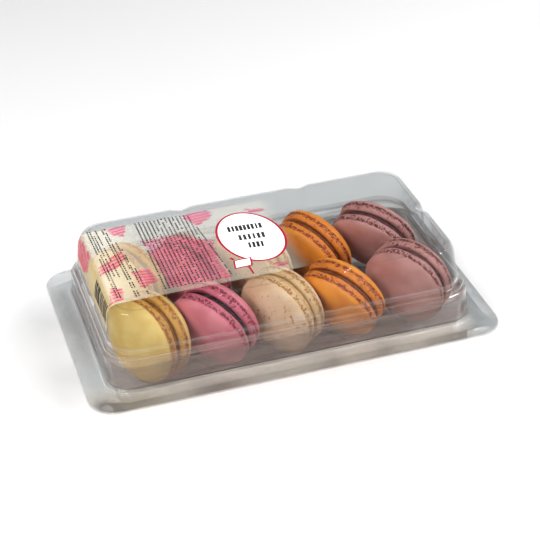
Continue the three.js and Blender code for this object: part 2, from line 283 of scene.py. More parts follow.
@dataclass(frozen=True)
class ClearPlastic(Finish):
    """Clear moulded sheet that mirrors at a slant and is hazy where the mesh says so.

    The mesh's haze attribute is the share of each face that looks frosted. The rim takes
    haze_colour, but along the front a brownish tone that is painted shade of the food standing
    behind it, and at the right end a darker tone, painted shade, in denser haze. The foot wall
    takes a brown tone, painted shade of the macarons seen through it. The most frosted lines, at
    the bends, are painted: a dark line of painted shade low down and a light line of painted
    highlight higher up. Lamps shine through more of the sheet than is seen through it, as they do
    through real sheet, whose haze scatters light onwards.
    """

    tint: RGB
    haze_colour: RGB
    front_shade_colour: RGB
    end_shade_colour: RGB
    skirt_shade_colour: RGB
    highlight_line_colour: RGB
    shade_line_colour: RGB
    roughness: float = 0.03
    ripple: float = 0.08
    shine: float = 0.009
    slant_shine: float = 0.85
    fold_shine: float = 8.0
    haze_shine: float = 0.04
    haze_roughness: float = 0.45
    end_shade_density: float = 0.8
    shadow_ease: float = 0.8

    def surface(self, graph: Graph) -> Socket:
        """Draws the surface and returns its shader."""
        place = graph.object_place()
        wave = graph.node(
            "ShaderNodeBump", Strength=self.ripple, Distance=MM, Height=graph.noise(place, 20.0, 1.0)
        )
        normal = graph.output(wave, "Normal")
        clear = graph.node("ShaderNodeBsdfTransparent", Color=opaque(self.tint))
        mark = graph.attribute("haze")
        parts = graph.node("ShaderNodeSeparateXYZ", Vector=place)
        height = graph.output(parts, "Z")
        # Painted shade: a brownish haze along the front, a darker, denser haze at the right end, and a
        # brown haze on the walls above the rim
        front = graph.stretch(graph.output(parts, "Y"), FRONT_SHADE_STRETCH, 1.0, 0.0)
        flange = graph.mix_colour(front, opaque(self.haze_colour), opaque(self.front_shade_colour))
        end = graph.stretch(graph.output(parts, "X"), END_SHADE_STRETCH)
        flange = graph.mix_colour(end, flange, opaque(self.end_shade_colour))
        skirt = graph.stretch(height, SKIRT_SHADE_STRETCH)
        tone = graph.mix_colour(skirt, flange, opaque(self.skirt_shade_colour))
        # Painted lines at the bends: painted shade low down, painted highlight higher up
        high = graph.stretch(height, PAINTED_LINE_STRETCH)
        edge = graph.mix_colour(high, opaque(self.shade_line_colour), opaque(self.highlight_line_colour))
        milk_and_painted_light = graph.mix_colour(graph.ramp(mark, *PAINTED_LINE_MARK), tone, edge)
        frosted = graph.node(
            "ShaderNodeBsdfPrincipled", Base_Color=milk_and_painted_light, Roughness=self.haze_roughness, Normal=normal
        )
        mirror = graph.node("ShaderNodeBsdfGlossy", Roughness=self.roughness, Normal=normal)
        drawn = graph.node("ShaderNodeMapping", Vector=place, Scale=(0.06, 0.06, 1.0))
        smear = graph.ramp(graph.noise(graph.output(drawn, "Vector"), 2.2, 3.0), 0.3, 0.72, 0.35, 1.8)
        # The haze grows denser at the right end, thickening its painted shade
        denser = graph.math("MULTIPLY_ADD", end, self.end_shade_density, 1.0)
        haze = graph.math("MULTIPLY", graph.math("MULTIPLY", mark, smear), denser)
        body = graph.mix_shader(haze, clear.outputs[0], frosted.outputs[0])
        slant = graph.output(graph.node("ShaderNodeLayerWeight", Blend=0.5, Normal=normal), "Facing")
        grazing = graph.math("POWER", slant, 5.0)
        shine = graph.math("MULTIPLY_ADD", grazing, self.slant_shine, self.shine)
        bent = graph.ramp(mark, *FOLD_MARK, 1.0, self.fold_shine)
        dull = graph.ramp(mark, *DULL_MARK, 1.0, self.haze_shine)
        polish = graph.math("MULTIPLY", bent, dull)
        surface = graph.mix_shader(graph.math("MULTIPLY", shine, polish), body, mirror.outputs[0])
        return graph.ease_shadow(surface, self.shadow_ease)


@dataclass(frozen=True)
class FilmFinish(Finish):
    """Printed film: a pale milky sheet, denser and darker on the end wall, where its darker tone is
    painted shade, and which fades to the right.
    """

    colour: RGB
    wall_shade_colour: RGB
    cover: float
    wall_cover: float
    roughness: float
    fade: Spot = (4.0, 15.5)
    cover_stretch: Spot = (-89.0, -58.0)
    wall_shade_stretch: Spot = (-89.0, -86.0)
    shadow_ease: float = 0.95

    def surface(self, graph: Graph) -> Socket:
        """Draws the surface and returns its shader."""
        place = graph.object_place()
        across = graph.output(graph.node("ShaderNodeSeparateXYZ", Vector=place), "X")
        cover = graph.stretch(across, self.cover_stretch, self.wall_cover, self.cover)
        uneven = graph.ramp(graph.noise(place, 30.0, 1.0), 0.3, 0.7, 0.85, 1.15)
        cloud = graph.math("MULTIPLY", cover, uneven)
        # Painted shade: the film turns darker on the end wall
        top = graph.stretch(across, self.wall_shade_stretch)
        tone = graph.mix_colour(top, opaque(self.wall_shade_colour), opaque(self.colour))
        milk_and_painted_light = graph.node("ShaderNodeBsdfPrincipled", Base_Color=tone, Roughness=self.roughness)
        clear = graph.node("ShaderNodeBsdfTransparent")
        kept = graph.stretch(across, self.fade, 1.0, 0.0)
        surface = graph.mix_shader(graph.math("MULTIPLY", cloud, kept), clear.outputs[0], milk_and_painted_light.outputs[0])
        return graph.ease_shadow(surface, self.shadow_ease)


@dataclass(frozen=True)
class InkFinish(Finish):
    """Printed ink, of one colour that thins out in streaks across its stroke."""

    colour: RGB
    deep_colour: RGB
    stain: RGB
    thinnest: float
    thickest: float
    streak: float
    roughness: float = 0.7
    gloss: float = 0.15
    shadow_ease: float = 0.85

    def surface(self, graph: Graph) -> Socket:
        """Draws the surface and returns its shader."""
        place = graph.object_place()
        turned = graph.node("ShaderNodeMapping", Vector=place, Scale=(0.25, 1.0, 1.0))
        cloud = graph.noise(graph.output(turned, "Vector"), self.streak, 4.0, 0.6)
        blotch = graph.ramp(graph.noise(place, 7.0, 3.0), 0.42, 0.62)
        colour = graph.mix_colour(blotch, opaque(self.colour), opaque(self.deep_colour))
        ink = graph.node(
            "ShaderNodeBsdfPrincipled", Base_Color=colour, Roughness=self.roughness,
            Specular_IOR_Level=self.gloss,
        )
        stain = graph.node("ShaderNodeBsdfTransparent", Color=opaque(self.stain))
        cover = graph.ramp(cloud, 0.35, 0.6, self.thinnest, self.thickest)
        surface = graph.mix_shader(cover, stain.outputs[0], ink.outputs[0])
        return graph.ease_shadow(surface, self.shadow_ease)


@dataclass(frozen=True)
class ShellFinish(Finish):
    """Baked macaron shell: a matt dome with a fine grain, and a browner foot whose holes and tears are
    darkened with painted shade, most of all in the crease.

    The mesh's foot attribute is 0 on the dome, 1 in the crease under it, and less on the foot.
    """

    dome: RGB
    dome_shade: RGB
    foot: RGB
    # The pit colour is painted shade in the foot's holes and tears
    pit: RGB
    speck: RGB
    speck_share: float
    pit_pitch: float = 1.7

    def surface(self, graph: Graph) -> Socket:
        """Draws the surface and returns its shader."""
        place = graph.object_place()
        cloud = graph.ramp(graph.noise(place, 11.0, 3.0), 0.35, 0.68)
        dome = graph.mix_colour(cloud, opaque(self.dome), opaque(self.dome_shade))
        fine = graph.noise(place, 2.6, 2.0, 0.7)
        spots = graph.ramp(fine, 0.74 - self.speck_share, 0.8 - self.speck_share)
        patches = graph.ramp(graph.noise(place, 8.0, 1.0), 0.42, 0.55)
        specked = graph.mix_colour(graph.math("MULTIPLY", spots, patches), dome, opaque(self.speck))
        mark = graph.attribute("foot")
        # Painted shade: dark spots in the foot's holes and tears, gathered at the crease under the dome
        cells = graph.node("ShaderNodeTexVoronoi", Vector=place, Scale=1.0 / (self.pit_pitch * MM))
        holes = graph.ramp(graph.output(cells, "Distance"), 0.5, 0.36)
        broken = graph.math("MULTIPLY_ADD", mark, 0.5, graph.noise(place, 3.0, 2.0))
        where = graph.ramp(broken, 0.74, 0.84)
        torn = graph.math("MULTIPLY_ADD", mark, 0.2, graph.noise(place, 1.25, 3.0, 0.65))
        tears = graph.ramp(torn, 0.65, 0.73)
        pit_shade = graph.math("MAXIMUM", graph.math("MULTIPLY", holes, where), tears)
        foot = graph.mix_colour(pit_shade, opaque(self.foot), opaque(self.pit))
        share = graph.ramp(mark, 0.02, 0.3)
        colour = graph.mix_colour(share, specked, foot)
        grain = graph.noise(place, 0.5, 3.0, 0.6)
        rough = graph.math("MULTIPLY_ADD", share, 1.2, 0.22)
        bump = graph.node("ShaderNodeBump", Strength=rough, Distance=0.25 * MM, Height=grain)
        normal = graph.output(bump, "Normal")
        skin = graph.node("ShaderNodeBsdfPrincipled", Base_Color=colour, Roughness=0.62, Normal=normal)
        return skin.outputs[0]


@dataclass(frozen=True)
class FillingFinish(Finish):
    """Soft filling between the shells, uneven in tone and a little moist."""

    colour: RGB
    deep_colour: RGB

    def surface(self, graph: Graph) -> Socket:
        """Draws the surface and returns its shader."""
        place = graph.object_place()
        cloud = graph.ramp(graph.noise(place, 2.4, 3.0), 0.38, 0.66)
        colour = graph.mix_colour(cloud, opaque(self.colour), opaque(self.deep_colour))
        grain = graph.noise(place, 0.9, 3.0)
        bump = graph.node("ShaderNodeBump", Strength=0.6, Distance=0.4 * MM, Height=grain)
        paste = graph.node(
            "ShaderNodeBsdfPrincipled", Base_Color=colour, Roughness=0.6, Specular_IOR_Level=0.25,
            Normal=graph.output(bump, "Normal"),
        )
        return paste.outputs[0]


@dataclass(frozen=True)
class FloorFinish(Finish):
    """Pale matt studio floor with a faint unevenness."""

    colour: RGB
    shade: RGB

    def surface(self, graph: Graph) -> Socket:
        """Draws the surface and returns its shader."""
        cloud = graph.noise(graph.object_place(), 220.0, 2.0)
        colour = graph.mix_colour(cloud, opaque(self.colour), opaque(self.shade))
        matt = graph.node("ShaderNodeBsdfPrincipled", Base_Color=colour, Roughness=0.8)
        return matt.outputs[0]


class MeshDraft:
    """Vertices, faces and one number per vertex, gathered before they become a piece."""

    def __init__(self) -> None:
        """Starts empty."""
        self.points: list[Vector] = []
        self.faces: list[tuple[int, ...]] = []
        self.marks: list[float] = []

    def add_points(self, points: Iterable[Sequence[float]], mark: float = 0.0) -> int:
        """Adds points in millimetres.

        Args:
            points: The points' places.
            mark: The number that they all carry.

        Returns:
            The index of the first new point.
        """
        first = len(self.points)
        added = [Vector(point) * MM for point in points]
        self.points.extend(added)
        self.marks.extend([mark] * len(added))
        return first

    def bridge(self, first: int, second: int, count: int, closed: bool = True) -> None:
        """Joins two runs of points, which start at the given indices, by quads."""
        for step in range(count if closed else count - 1):
            after = (step + 1) % count
            self.faces.append((first + step, first + after, second + after, second + step))

    def loft(self, starts: Sequence[int], count: int, closed: bool = True) -> None:
        """Joins each run of points to the next one by quads."""
        for first, second in zip(starts, starts[1:]):
            self.bridge(first, second, count, closed)

    def fan(self, ring: int, count: int, pole: int, flipped: bool = False) -> None:
        """Closes a ring of points with triangles to one point."""
        for step in range(count):
            pair = (ring + step, ring + (step + 1) % count)
            self.faces.append((*reversed(pair), pole) if flipped else (*pair, pole))

    def piece(
        self, name: str, material: Material, mark: str | None = None, smooth: bool = True
    ) -> Piece:
        """Makes an object at the origin from the draft, with its faces outwards.

        Args:
            name: The object's name.
            material: Its material.
            mark: Name of the attribute that keeps the points' numbers, if there is one.
            smooth: Whether its faces are shaded as one curved surface.

        Returns:
            The new object, linked to the scene.
        """
        mesh = bpy.data.meshes.new(name)
        mesh.from_pydata(self.points, [], self.faces)
        if mark:
            layer = mesh.attributes.new(mark, "FLOAT", "POINT")
            layer.data.foreach_set("value", self.marks)
        mesh.validate()
        weld_and_turn_out(mesh)
        if smooth:
            mesh.shade_smooth()
        mesh.materials.append(material)
        made = bpy.data.objects.new(name, mesh)
        bpy.context.scene.collection.objects.link(made)
        return made


def weld_and_turn_out(mesh: bpy.types.Mesh) -> None:
    """Merges doubled points and points every face out of its closed shell."""
    work = bmesh.new()
    work.from_mesh(mesh)
    bmesh.ops.remove_doubles(work, verts=work.verts, dist=1e-6)
    bmesh.ops.recalc_face_normals(work, faces=work.faces)
    work.to_mesh(mesh)
    work.free()


@dataclass(frozen=True)
class Ring:
    """One rounded rectangle of a moulded sheet, measured in from the pack's rim.

    groove is how much of the walls' grooves reaches it, haze how frosted the sheet is there, and line
    how much more haze the bend at it gets, which where it is large shows as a painted line: painted
    highlight high up, painted shade low down.
    """

    inset_x: float
    inset_y: float
    height: float
    corner: float
    groove: float = 0.0
    haze: float = 0.0
    line: float = 0.0

    def towards(self, other: "Ring", share: float) -> "Ring":
        """Returns the ring at a share of the way to another ring."""
        mixed = {
            name: getattr(self, name) + (getattr(other, name) - getattr(self, name)) * share
            for name in ("inset_x", "inset_y", "height", "corner", "groove", "haze", "line")
        }
        return Ring(**mixed)

    def distance(self, other: "Ring") -> float:
        """Returns how far apart two rings are in the sheet's section."""
        return math.hypot(
            (self.inset_x + self.inset_y - other.inset_x - other.inset_y) / 2, self.height - other.height
        )


def rounded(rings: Sequence[Ring], bend: float, steps: int = 4) -> list[Ring]:
    """Rounds the bends between a sheet's rings.

    Args:
        rings: The rings in order, with a sharp bend at each.
        bend: How far from a bend its rounding starts, in millimetres.
        steps: Number of rings across each bend, less one.

    Returns:
        More rings, on the same straight stretches, with a smooth curve at each bend.
    """
    smooth = [rings[0]]
    for before, here, after in zip(rings, rings[1:], rings[2:]):
        start = here.towards(before, min(bend / here.distance(before), 0.45))
        end = here.towards(after, min(bend / here.distance(after), 0.45))
        for step in range(steps + 1):
            share = step / steps
            ring = start.towards(here, share).towards(here.towards(end, share), share)
            # A bend's line adds haze that peaks mid-bend; large amounts show as a painted highlight line
            # high up and a painted shade line low down
            smooth.append(replace(ring, haze=ring.haze + here.line * (1 - abs(2 * share - 1))))
    smooth.append(rings[-1])
    return smooth


def groove_depth(position: float, centres: Sequence[float]) -> float:
    """How far the upright grooves push a wall in at a place along it."""
    depth = 0.0
    for centre in centres:
        away = abs(position - centre)
        if away < GROOVE_HALF_WIDTH:
            depth += GROOVE_DEPTH * 0.5 * (1 + math.cos(math.pi * away / GROOVE_HALF_WIDTH))
    return depth


@dataclass
class MouldedSheet:
    """A thin moulded sheet, made from a chain of rounded rectangles."""

    rings: Sequence[Ring]
    flange_top: float
    setback: float
    bend: float = SHEET_BEND
    long_steps: int = 136
    short_steps: int = 70
    corner_steps: int = 12

    @property
    def ring_count(self) -> int:
        """Number of points in each ring."""
        return 2 * (self.long_steps + self.short_steps) + 4 * (self.corner_steps + 1)

    def ring_points(self, ring: Ring, out: float, down: float) -> list[Point]:
        """Places the points of one ring.

        Args:
            ring: The rounded rectangle.
            out: How far its outline is moved outwards.
            down: How far it is lowered.

        Returns:
            Its points, anticlockwise from above.
        """
        half_x = FLANGE_LENGTH / 2 - self.setback - ring.inset_x + out
        half_y = FLANGE_WIDTH / 2 - self.setback - ring.inset_y + out
        z = self.flange_top + ring.height - down
        long_side = (half_y, half_x, self.long_steps, (-GROOVE_X, GROOVE_X))
        short_side = (half_x, half_y, self.short_steps, (0.0,))
        points: list[Point] = []
        for quarter, (half, run, steps, grooves) in enumerate((short_side, long_side) * 2):
            cos, sin = ((1, 0), (0, 1), (-1, 0), (0, -1))[quarter]
            straight = run - ring.corner
            for step in range(steps):
                along = straight * (2 * step / steps - 1)
                reach = half - ring.groove * groove_depth(along, grooves)
                points.append((reach * cos - along * sin, reach * sin + along * cos, z))
            for step in range(self.corner_steps + 1):
                turn = step / self.corner_steps * math.pi / 2
                reach = half - ring.corner * (1 - math.cos(turn))
                along = straight + ring.corner * math.sin(turn)
                points.append((reach * cos - along * sin, reach * sin + along * cos, z))
        return points

    def draft(self) -> tuple[MeshDraft, int, int]:
        """Makes both faces of the sheet, closed at the rim and open in the middle.

        Returns:
            The draft, and where the innermost ring of the upper and of the lower face starts.
        """
        chain = rounded(self.rings, self.bend)
        draft = MeshDraft()
        starts: list[int] = []
        places = range(len(chain))
        for offset, order in ((0.0, places), (SHEET, reversed(places))):
            for place in order:
                ring = chain[place]
                before, after = chain[max(place - 1, 0)], chain[min(place + 1, len(chain) - 1)]
                run_out = (before.inset_x + before.inset_y - after.inset_x - after.inset_y) / 2
                run_up = after.height - before.height
                length = math.hypot(run_out, run_up)
                out, down = offset * run_up / length, offset * run_out / length
                starts.append(draft.add_points(self.ring_points(ring, out, down), ring.haze))
        draft.loft(starts, self.ring_count)
        return draft, starts[0], starts[-1]


@dataclass
class Lid(MouldedSheet):
    """The domed press-on lid, with upright grooves in its walls."""

    def build(self, finish: ClearPlastic) -> Piece:
        """Makes the lid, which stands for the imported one."""
        draft, upper, lower = self.draft()
        top = self.flange_top + self.rings[0].height
        for start, height, flipped in ((upper, top, True), (lower, top - SHEET, False)):
            pole = draft.add_points([(0.0, 0.0, height)], self.rings[0].haze)
            draft.fan(start, self.ring_count, pole, flipped)
        return draft.piece("lid_sheet", finish.build(), "haze")


@dataclass(frozen=True)
class Relief:
    """A bar pressed up from the tray's floor."""

    base: float
    top: float
    height: float
    length: float

    def rise(self, x: float, y: float, place: Spot, turn: float) -> float:
        """How high the bar lifts the floor at a point.

        Args:
            x, y: The point.
            place: The bar's middle.
            turn: Angle of the bar's length from the Y axis, in radians.

        Returns:
            A share of the bar's full height.
        """
        dx, dy = x - place[0], y - place[1]
        across = dx * math.cos(turn) + dy * math.sin(turn)
        along = -dx * math.sin(turn) + dy * math.cos(turn)
        beyond = max(abs(along) - (self.length - self.base) / 2, 0.0)
        away = math.hypot(across, beyond)
        share = (self.base / 2 - away) / ((self.base - self.top) / 2)
        share = min(max(share, 0.0), 1.0)
        return share * share * (3 - 2 * share)


@dataclass(frozen=True)
class Macaron:
    """A macaron as it stands in the pack.

    The axis runs from the left shell to the right one. tilt is how far it rises towards the right
    and yaw how far it turns to the back, in degrees. z is the height over the lid's flange.
    """

    row: Row
    colour: Colour
    x: float
    y: float
    z: float
    tilt: float
    yaw: float
    size: float
    thick: float

    @property
    def prefix(self) -> str:
        """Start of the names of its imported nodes."""
        return f"{self.colour.value}_{self.row.value}"

    @property
    def middle(self) -> Vector:
        """Its middle, in the pack."""
        return Vector((self.x, self.y, LID_FLANGE_TOP + self.z))

    def basis(self) -> Matrix:
        """Turns its own directions, with the axis as Z, into the pack's."""
        tilt, yaw = math.radians(self.tilt), math.radians(self.yaw)
        axis = Vector((math.cos(tilt) * math.cos(yaw), math.cos(tilt) * math.sin(yaw), math.sin(tilt)))
        across = Vector((-math.sin(yaw), math.cos(yaw), 0.0))
        return Matrix((across, axis.cross(across), axis)).transposed()

    def foothold(self) -> Vector:
        """Where the lowest part of its rim is, seen from above."""
        return self.middle - self.basis().col[1] * self.size / 2


@dataclass
class Tray(MouldedSheet):
    """The shallow tray, with pressed-up bars that keep the macarons apart."""

    ridge: Relief = Relief(9.0, 3.5, 6.5, 168.0)
    rib: Relief = Relief(7.5, 2.5, 5.5, 32.0)
    floor_half_x: float = 85.0
    floor_half_y: float = 43.75

    def bars(self, macarons: Sequence[Macaron]) -> list[tuple[Relief, Spot, float]]:
        """Lists the bars, with the ridge first, and each one's place and turn."""
        placed = [(self.ridge, (0.0, 0.0), math.pi / 2)]
        for row in Row:
            standing = [macaron for macaron in macarons if macaron.row is row]
            for first, second in zip(standing, standing[1:]):
                middle = (first.foothold() + second.foothold()) / 2
                turn = math.radians((first.yaw + second.yaw) / 2)
                placed.append((self.rib, (middle.x, middle.y), turn))
        return placed

    def add_floor(self, draft: MeshDraft, edge: int, macarons: Sequence[Macaron], offset: float) -> None:
        """Fills the middle of one face with the pressed floor.

        Args:
            draft: The draft with the sheet's rings.
            edge: Where the innermost ring starts, which follows the floor's edge. Not used.
            macarons: The macarons that the bars keep apart.
            offset: How far the face lies below the sheet's upper one.
        """
        bars = self.bars(macarons)
        haze = self.rings[0].haze
        rows: list[int] = []
        for y_step in range(self.short_steps + 1):
            y = self.floor_half_y * (2 * y_step / self.short_steps - 1)
            points = []
            for x_step in range(self.long_steps + 1):
                x = self.floor_half_x * (2 * x_step / self.long_steps - 1)
                lift = max(
                    (bar.height - SHEET) * bar.rise(x, y, place, turn) for bar, place, turn in bars
                )
                points.append((x, y, SHEET - offset + lift))
            rows.append(draft.add_points(points, haze))
        draft.loft(rows, self.long_steps + 1, closed=False)

    def build(self, finish: ClearPlastic, macarons: Sequence[Macaron]) -> Piece:
        """Makes the tray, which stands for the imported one."""
        draft, upper, lower = self.draft()
        self.add_floor(draft, upper, macarons, 0.0)
        self.add_floor(draft, lower, macarons, SHEET)
        return draft.piece("tray_sheet", finish.build(), "haze")


# The large line values draw a painted highlight line on the shoulder and painted shade lines at the
# skirt's foot
LID_RINGS = (
    Ring(59.0, 61.7, 39.5, 2.0),
    Ring(27.0, 29.7, 39.5, 6.0),
    Ring(21.2, 23.9, 39.5, 10.5, groove=1.0, line=0.08),
    Ring(18.5, 21.2, 38.5, 12.0, groove=1.0),
    Ring(17.1, 19.8, 35.0, 13.0, groove=1.0, haze=0.004),
    Ring(15.7, 17.5, 23.0, 14.0, groove=1.0, haze=0.015),
    Ring(15.4, 17.1, 20.0, 14.0, haze=0.02, line=0.1),
    Ring(15.1, 16.8, 18.4, 14.5, haze=0.02, line=0.17),
    Ring(13.2, 14.7, 17.6, 15.5, haze=0.03, line=0.2),
    Ring(13.0, 14.4, 16.1, 15.5, haze=0.05, line=0.15),
    Ring(12.1, 13.5, 15.4, 15.0, haze=0.11, line=0.22),
    Ring(11.6, 12.5, 1.5, 13.0, haze=0.14, line=0.55),
    Ring(10.8, 11.7, 1.3, 13.0, haze=0.14, line=0.35),
    Ring(10.4, 11.3, 0.0, 13.0, haze=0.14, line=0.1),
    Ring(0.0, 0.0, 0.0, 14.0, haze=0.15),
)
# The rings from the edge of the lid's flat top outwards, which the film follows
FILM_RINGS = LID_RINGS[2:]

# The tray's line values thicken the haze at its rim's bends, in the plastic's painted shade tone
TRAY_RINGS = (
    Ring(22.5, 23.75, -12.5, 0.0, haze=0.02),
    Ring(18.6, 19.8, -12.5, 8.0, haze=0.02),
    Ring(17.2, 18.4, -11.1, 9.5, haze=0.03),
    Ring(15.9, 17.0, 12.6, 12.0, haze=0.03, line=0.15),
    Ring(13.7, 15.0, 12.9, 14.0, haze=0.04, line=0.15),
    Ring(13.0, 13.9, 0.0, 13.0, haze=0.06),
    Ring(0.0, 0.0, 0.0, 14.0, haze=0.13),
)

MACARONS = (
    Macaron(Row.FRONT, Colour.YELLOW, -68.8, -24.6, 9.6, -2.0, 30.0, 45.2, 27.0),
    Macaron(Row.FRONT, Colour.PINK, -34.1, -24.5, 10.0, 17.5, 36.0, 45.0, 26.5),
    Macaron(Row.FRONT, Colour.CREAM, 1.5, -24.6, 9.9, 7.0, 33.0, 44.8, 23.5),
    Macaron(Row.FRONT, Colour.AMBER, 33.8, -24.5, 9.8, 24.0, 34.0, 45.0, 24.0),
    Macaron(Row.FRONT, Colour.MAUVE, 70.8, -23.6, 11.4, 11.0, 39.0, 45.2, 22.5),
    Macaron(Row.BACK, Colour.YELLOW, -69.3, 23.2, 10.9, -5.0, 35.0, 44.8, 23.0),
    Macaron(Row.BACK, Colour.PINK, -34.5, 23.5, 10.4, 14.0, 34.0, 44.6, 25.0),
    Macaron(Row.BACK, Colour.CREAM, 0.2, 23.4, 10.6, 12.0, 32.0, 45.0, 24.0),
    Macaron(Row.BACK, Colour.AMBER, 33.1, 23.3, 10.7, 20.0, 30.0, 45.0, 25.0),
    Macaron(Row.BACK, Colour.MAUVE, 68.8, 23.5, 11.9, 27.0, 42.0, 44.8, 22.5),
)

# Each shell's fourth colour is painted shade for its foot's holes and tears
SHELL_FINISHES = {
    Colour.YELLOW: ShellFinish(
        "yellow_shell_baked", srgb(206, 176, 102), srgb(194, 160, 80), srgb(186, 134, 56),
        srgb(138, 84, 30), srgb(190, 140, 60), 0.0,
    ),
    Colour.PINK: ShellFinish(
        "pink_shell_baked", srgb(198, 112, 122), srgb(184, 94, 106), srgb(186, 90, 108),
        srgb(112, 16, 40), srgb(120, 30, 50), 0.0,
    ),
    Colour.CREAM: ShellFinish(
        "cream_shell_baked", srgb(212, 182, 150), srgb(200, 166, 130), srgb(200, 166, 120),
        srgb(156, 104, 54), srgb(172, 112, 58), 0.155,
    ),
    Colour.AMBER: ShellFinish(
        "amber_shell_baked", srgb(218, 134, 30), srgb(202, 116, 20), srgb(206, 116, 28),
        srgb(124, 46, 14), srgb(150, 74, 22), 0.0,
    ),
    Colour.MAUVE: ShellFinish(
        "mauve_shell_baked", srgb(176, 126, 120), srgb(160, 108, 102), srgb(170, 118, 112),
        srgb(84, 28, 30), srgb(110, 60, 60), 0.04,
    ),
}

FILLING_FINISHES = {
    Colour.YELLOW: FillingFinish("yellow_filling_soft", srgb(140, 88, 30), srgb(104, 62, 22)),
    Colour.PINK: FillingFinish("pink_filling_soft", srgb(44, 8, 20), srgb(28, 4, 12)),
    Colour.CREAM: FillingFinish("cream_filling_soft", srgb(208, 168, 118), srgb(184, 142, 96)),
    Colour.AMBER: FillingFinish("amber_filling_soft", srgb(120, 62, 26), srgb(96, 46, 18)),
    Colour.MAUVE: FillingFinish("mauve_filling_soft", srgb(92, 56, 56), srgb(64, 36, 38)),
}


class GeometryTree:
    """A Geometry Nodes tree with named inputs, applied to pieces one by one."""

    def __init__(self, name: str, inputs: dict[str, str]) -> None:
        """Starts the tree with its inputs and its output.

        Args:
            name: The tree's name.
            inputs: Kind of socket by input name, apart from the geometry and the material.
        """
        self.tree = bpy.data.node_groups.new(name, "GeometryNodeTree")
        self.graph = Graph(self.tree)
        face = self.tree.interface
        kinds = {"Geometry": "Geometry", **inputs, "Material": "Material"}
        self.sockets = {
            label: face.new_socket(label, in_out="INPUT", socket_type=f"NodeSocket{kind}").identifier
            for label, kind in kinds.items()
        }
        face.new_socket("Geometry", in_out="OUTPUT", socket_type="NodeSocketGeometry")
        self.entry = self.tree.nodes.new("NodeGroupInput")

    def given(self, name: str) -> Socket:
        """Returns the named input as a socket to link from."""
        return self.entry.outputs[name]

    def finish(self, result: Socket) -> None:
        """Gives the result its material and ends the tree."""
        material = self.given("Material")
        dressed = self.graph.node("GeometryNodeSetMaterial", Geometry=result, Material=material)
        end = self.tree.nodes.new("NodeGroupOutput")
        self.tree.links.new(dressed.outputs[0], end.inputs[0])

    def apply(self, piece: Piece, **values: Any) -> None:
        """Runs the tree on a piece and keeps the result as its plain mesh.

        Args:
            piece: The object whose mesh the tree works on.
            values: The tree's inputs by name, with _ for a space.
        """
        modifier = piece.modifiers.new(self.tree.name, "NODES")
        modifier.node_group = self.tree
        for name, value in values.items():
            modifier[self.sockets[name.replace("_", " ")]] = value
        depsgraph = bpy.context.evaluated_depsgraph_get()
        evaluated = piece.evaluated_get(depsgraph)
        mesh = bpy.data.meshes.new_from_object(
            evaluated, preserve_all_data_layers=True, depsgraph=depsgraph
        )
        piece.modifiers.clear()
        piece.data = mesh


def crumb_tree() -> GeometryTree:
    """Builds the tree that scatters small crumbs over a shell's foot."""
    inputs = {"Density": "Float", "Smallest": "Float", "Largest": "Float", "Seed": "Int"}
    tree = GeometryTree("foot_crumbs", inputs)
    graph = tree.graph
    named = graph.node("GeometryNodeInputNamedAttribute", {"data_type": "FLOAT"}, Name="foot")
    foot = graph.output(named, "Attribute")
    on_foot = graph.node(
        "FunctionNodeCompare", {"data_type": "FLOAT", "operation": "GREATER_THAN"}, A=foot, B=0.5
    )
    spread = graph.node(
        "GeometryNodeDistributePointsOnFaces", {"distribute_method": "RANDOM"},
        Mesh=tree.given("Geometry"), Selection=on_foot.outputs[0], Density=tree.given("Density"),
        Seed=tree.given("Seed"),
    )
    crumb = graph.node("GeometryNodeMeshIcoSphere", Radius=1.0, Subdivisions=1)
    scale = graph.node(
        "FunctionNodeRandomValue", {"data_type": "FLOAT"}, Min=tree.given("Smallest"),
        Max=tree.given("Largest"), Seed=tree.given("Seed"),
    )
    placed = graph.node(
        "GeometryNodeInstanceOnPoints", Points=graph.output(spread, "Points"), Instance=crumb.outputs[0],
        Rotation=graph.output(spread, "Rotation"), Scale=graph.output(scale, "Value"),
    )
    real = graph.node("GeometryNodeRealizeInstances", Geometry=placed.outputs[0])
    marked = graph.node(
        "GeometryNodeStoreNamedAttribute", {"data_type": "FLOAT", "domain": "POINT"},
        Geometry=real.outputs[0], Name="foot", Value=0.4,
    )
    rounded_crumbs = graph.node("GeometryNodeSetShadeSmooth", Geometry=marked.outputs[0])
    joined = graph.tree.nodes.new("GeometryNodeJoinGeometry")
    graph.tree.links.new(rounded_crumbs.outputs[0], joined.inputs[0])
    graph.tree.links.new(tree.given("Geometry"), joined.inputs[0])
    tree.finish(joined.outputs[0])
    return tree


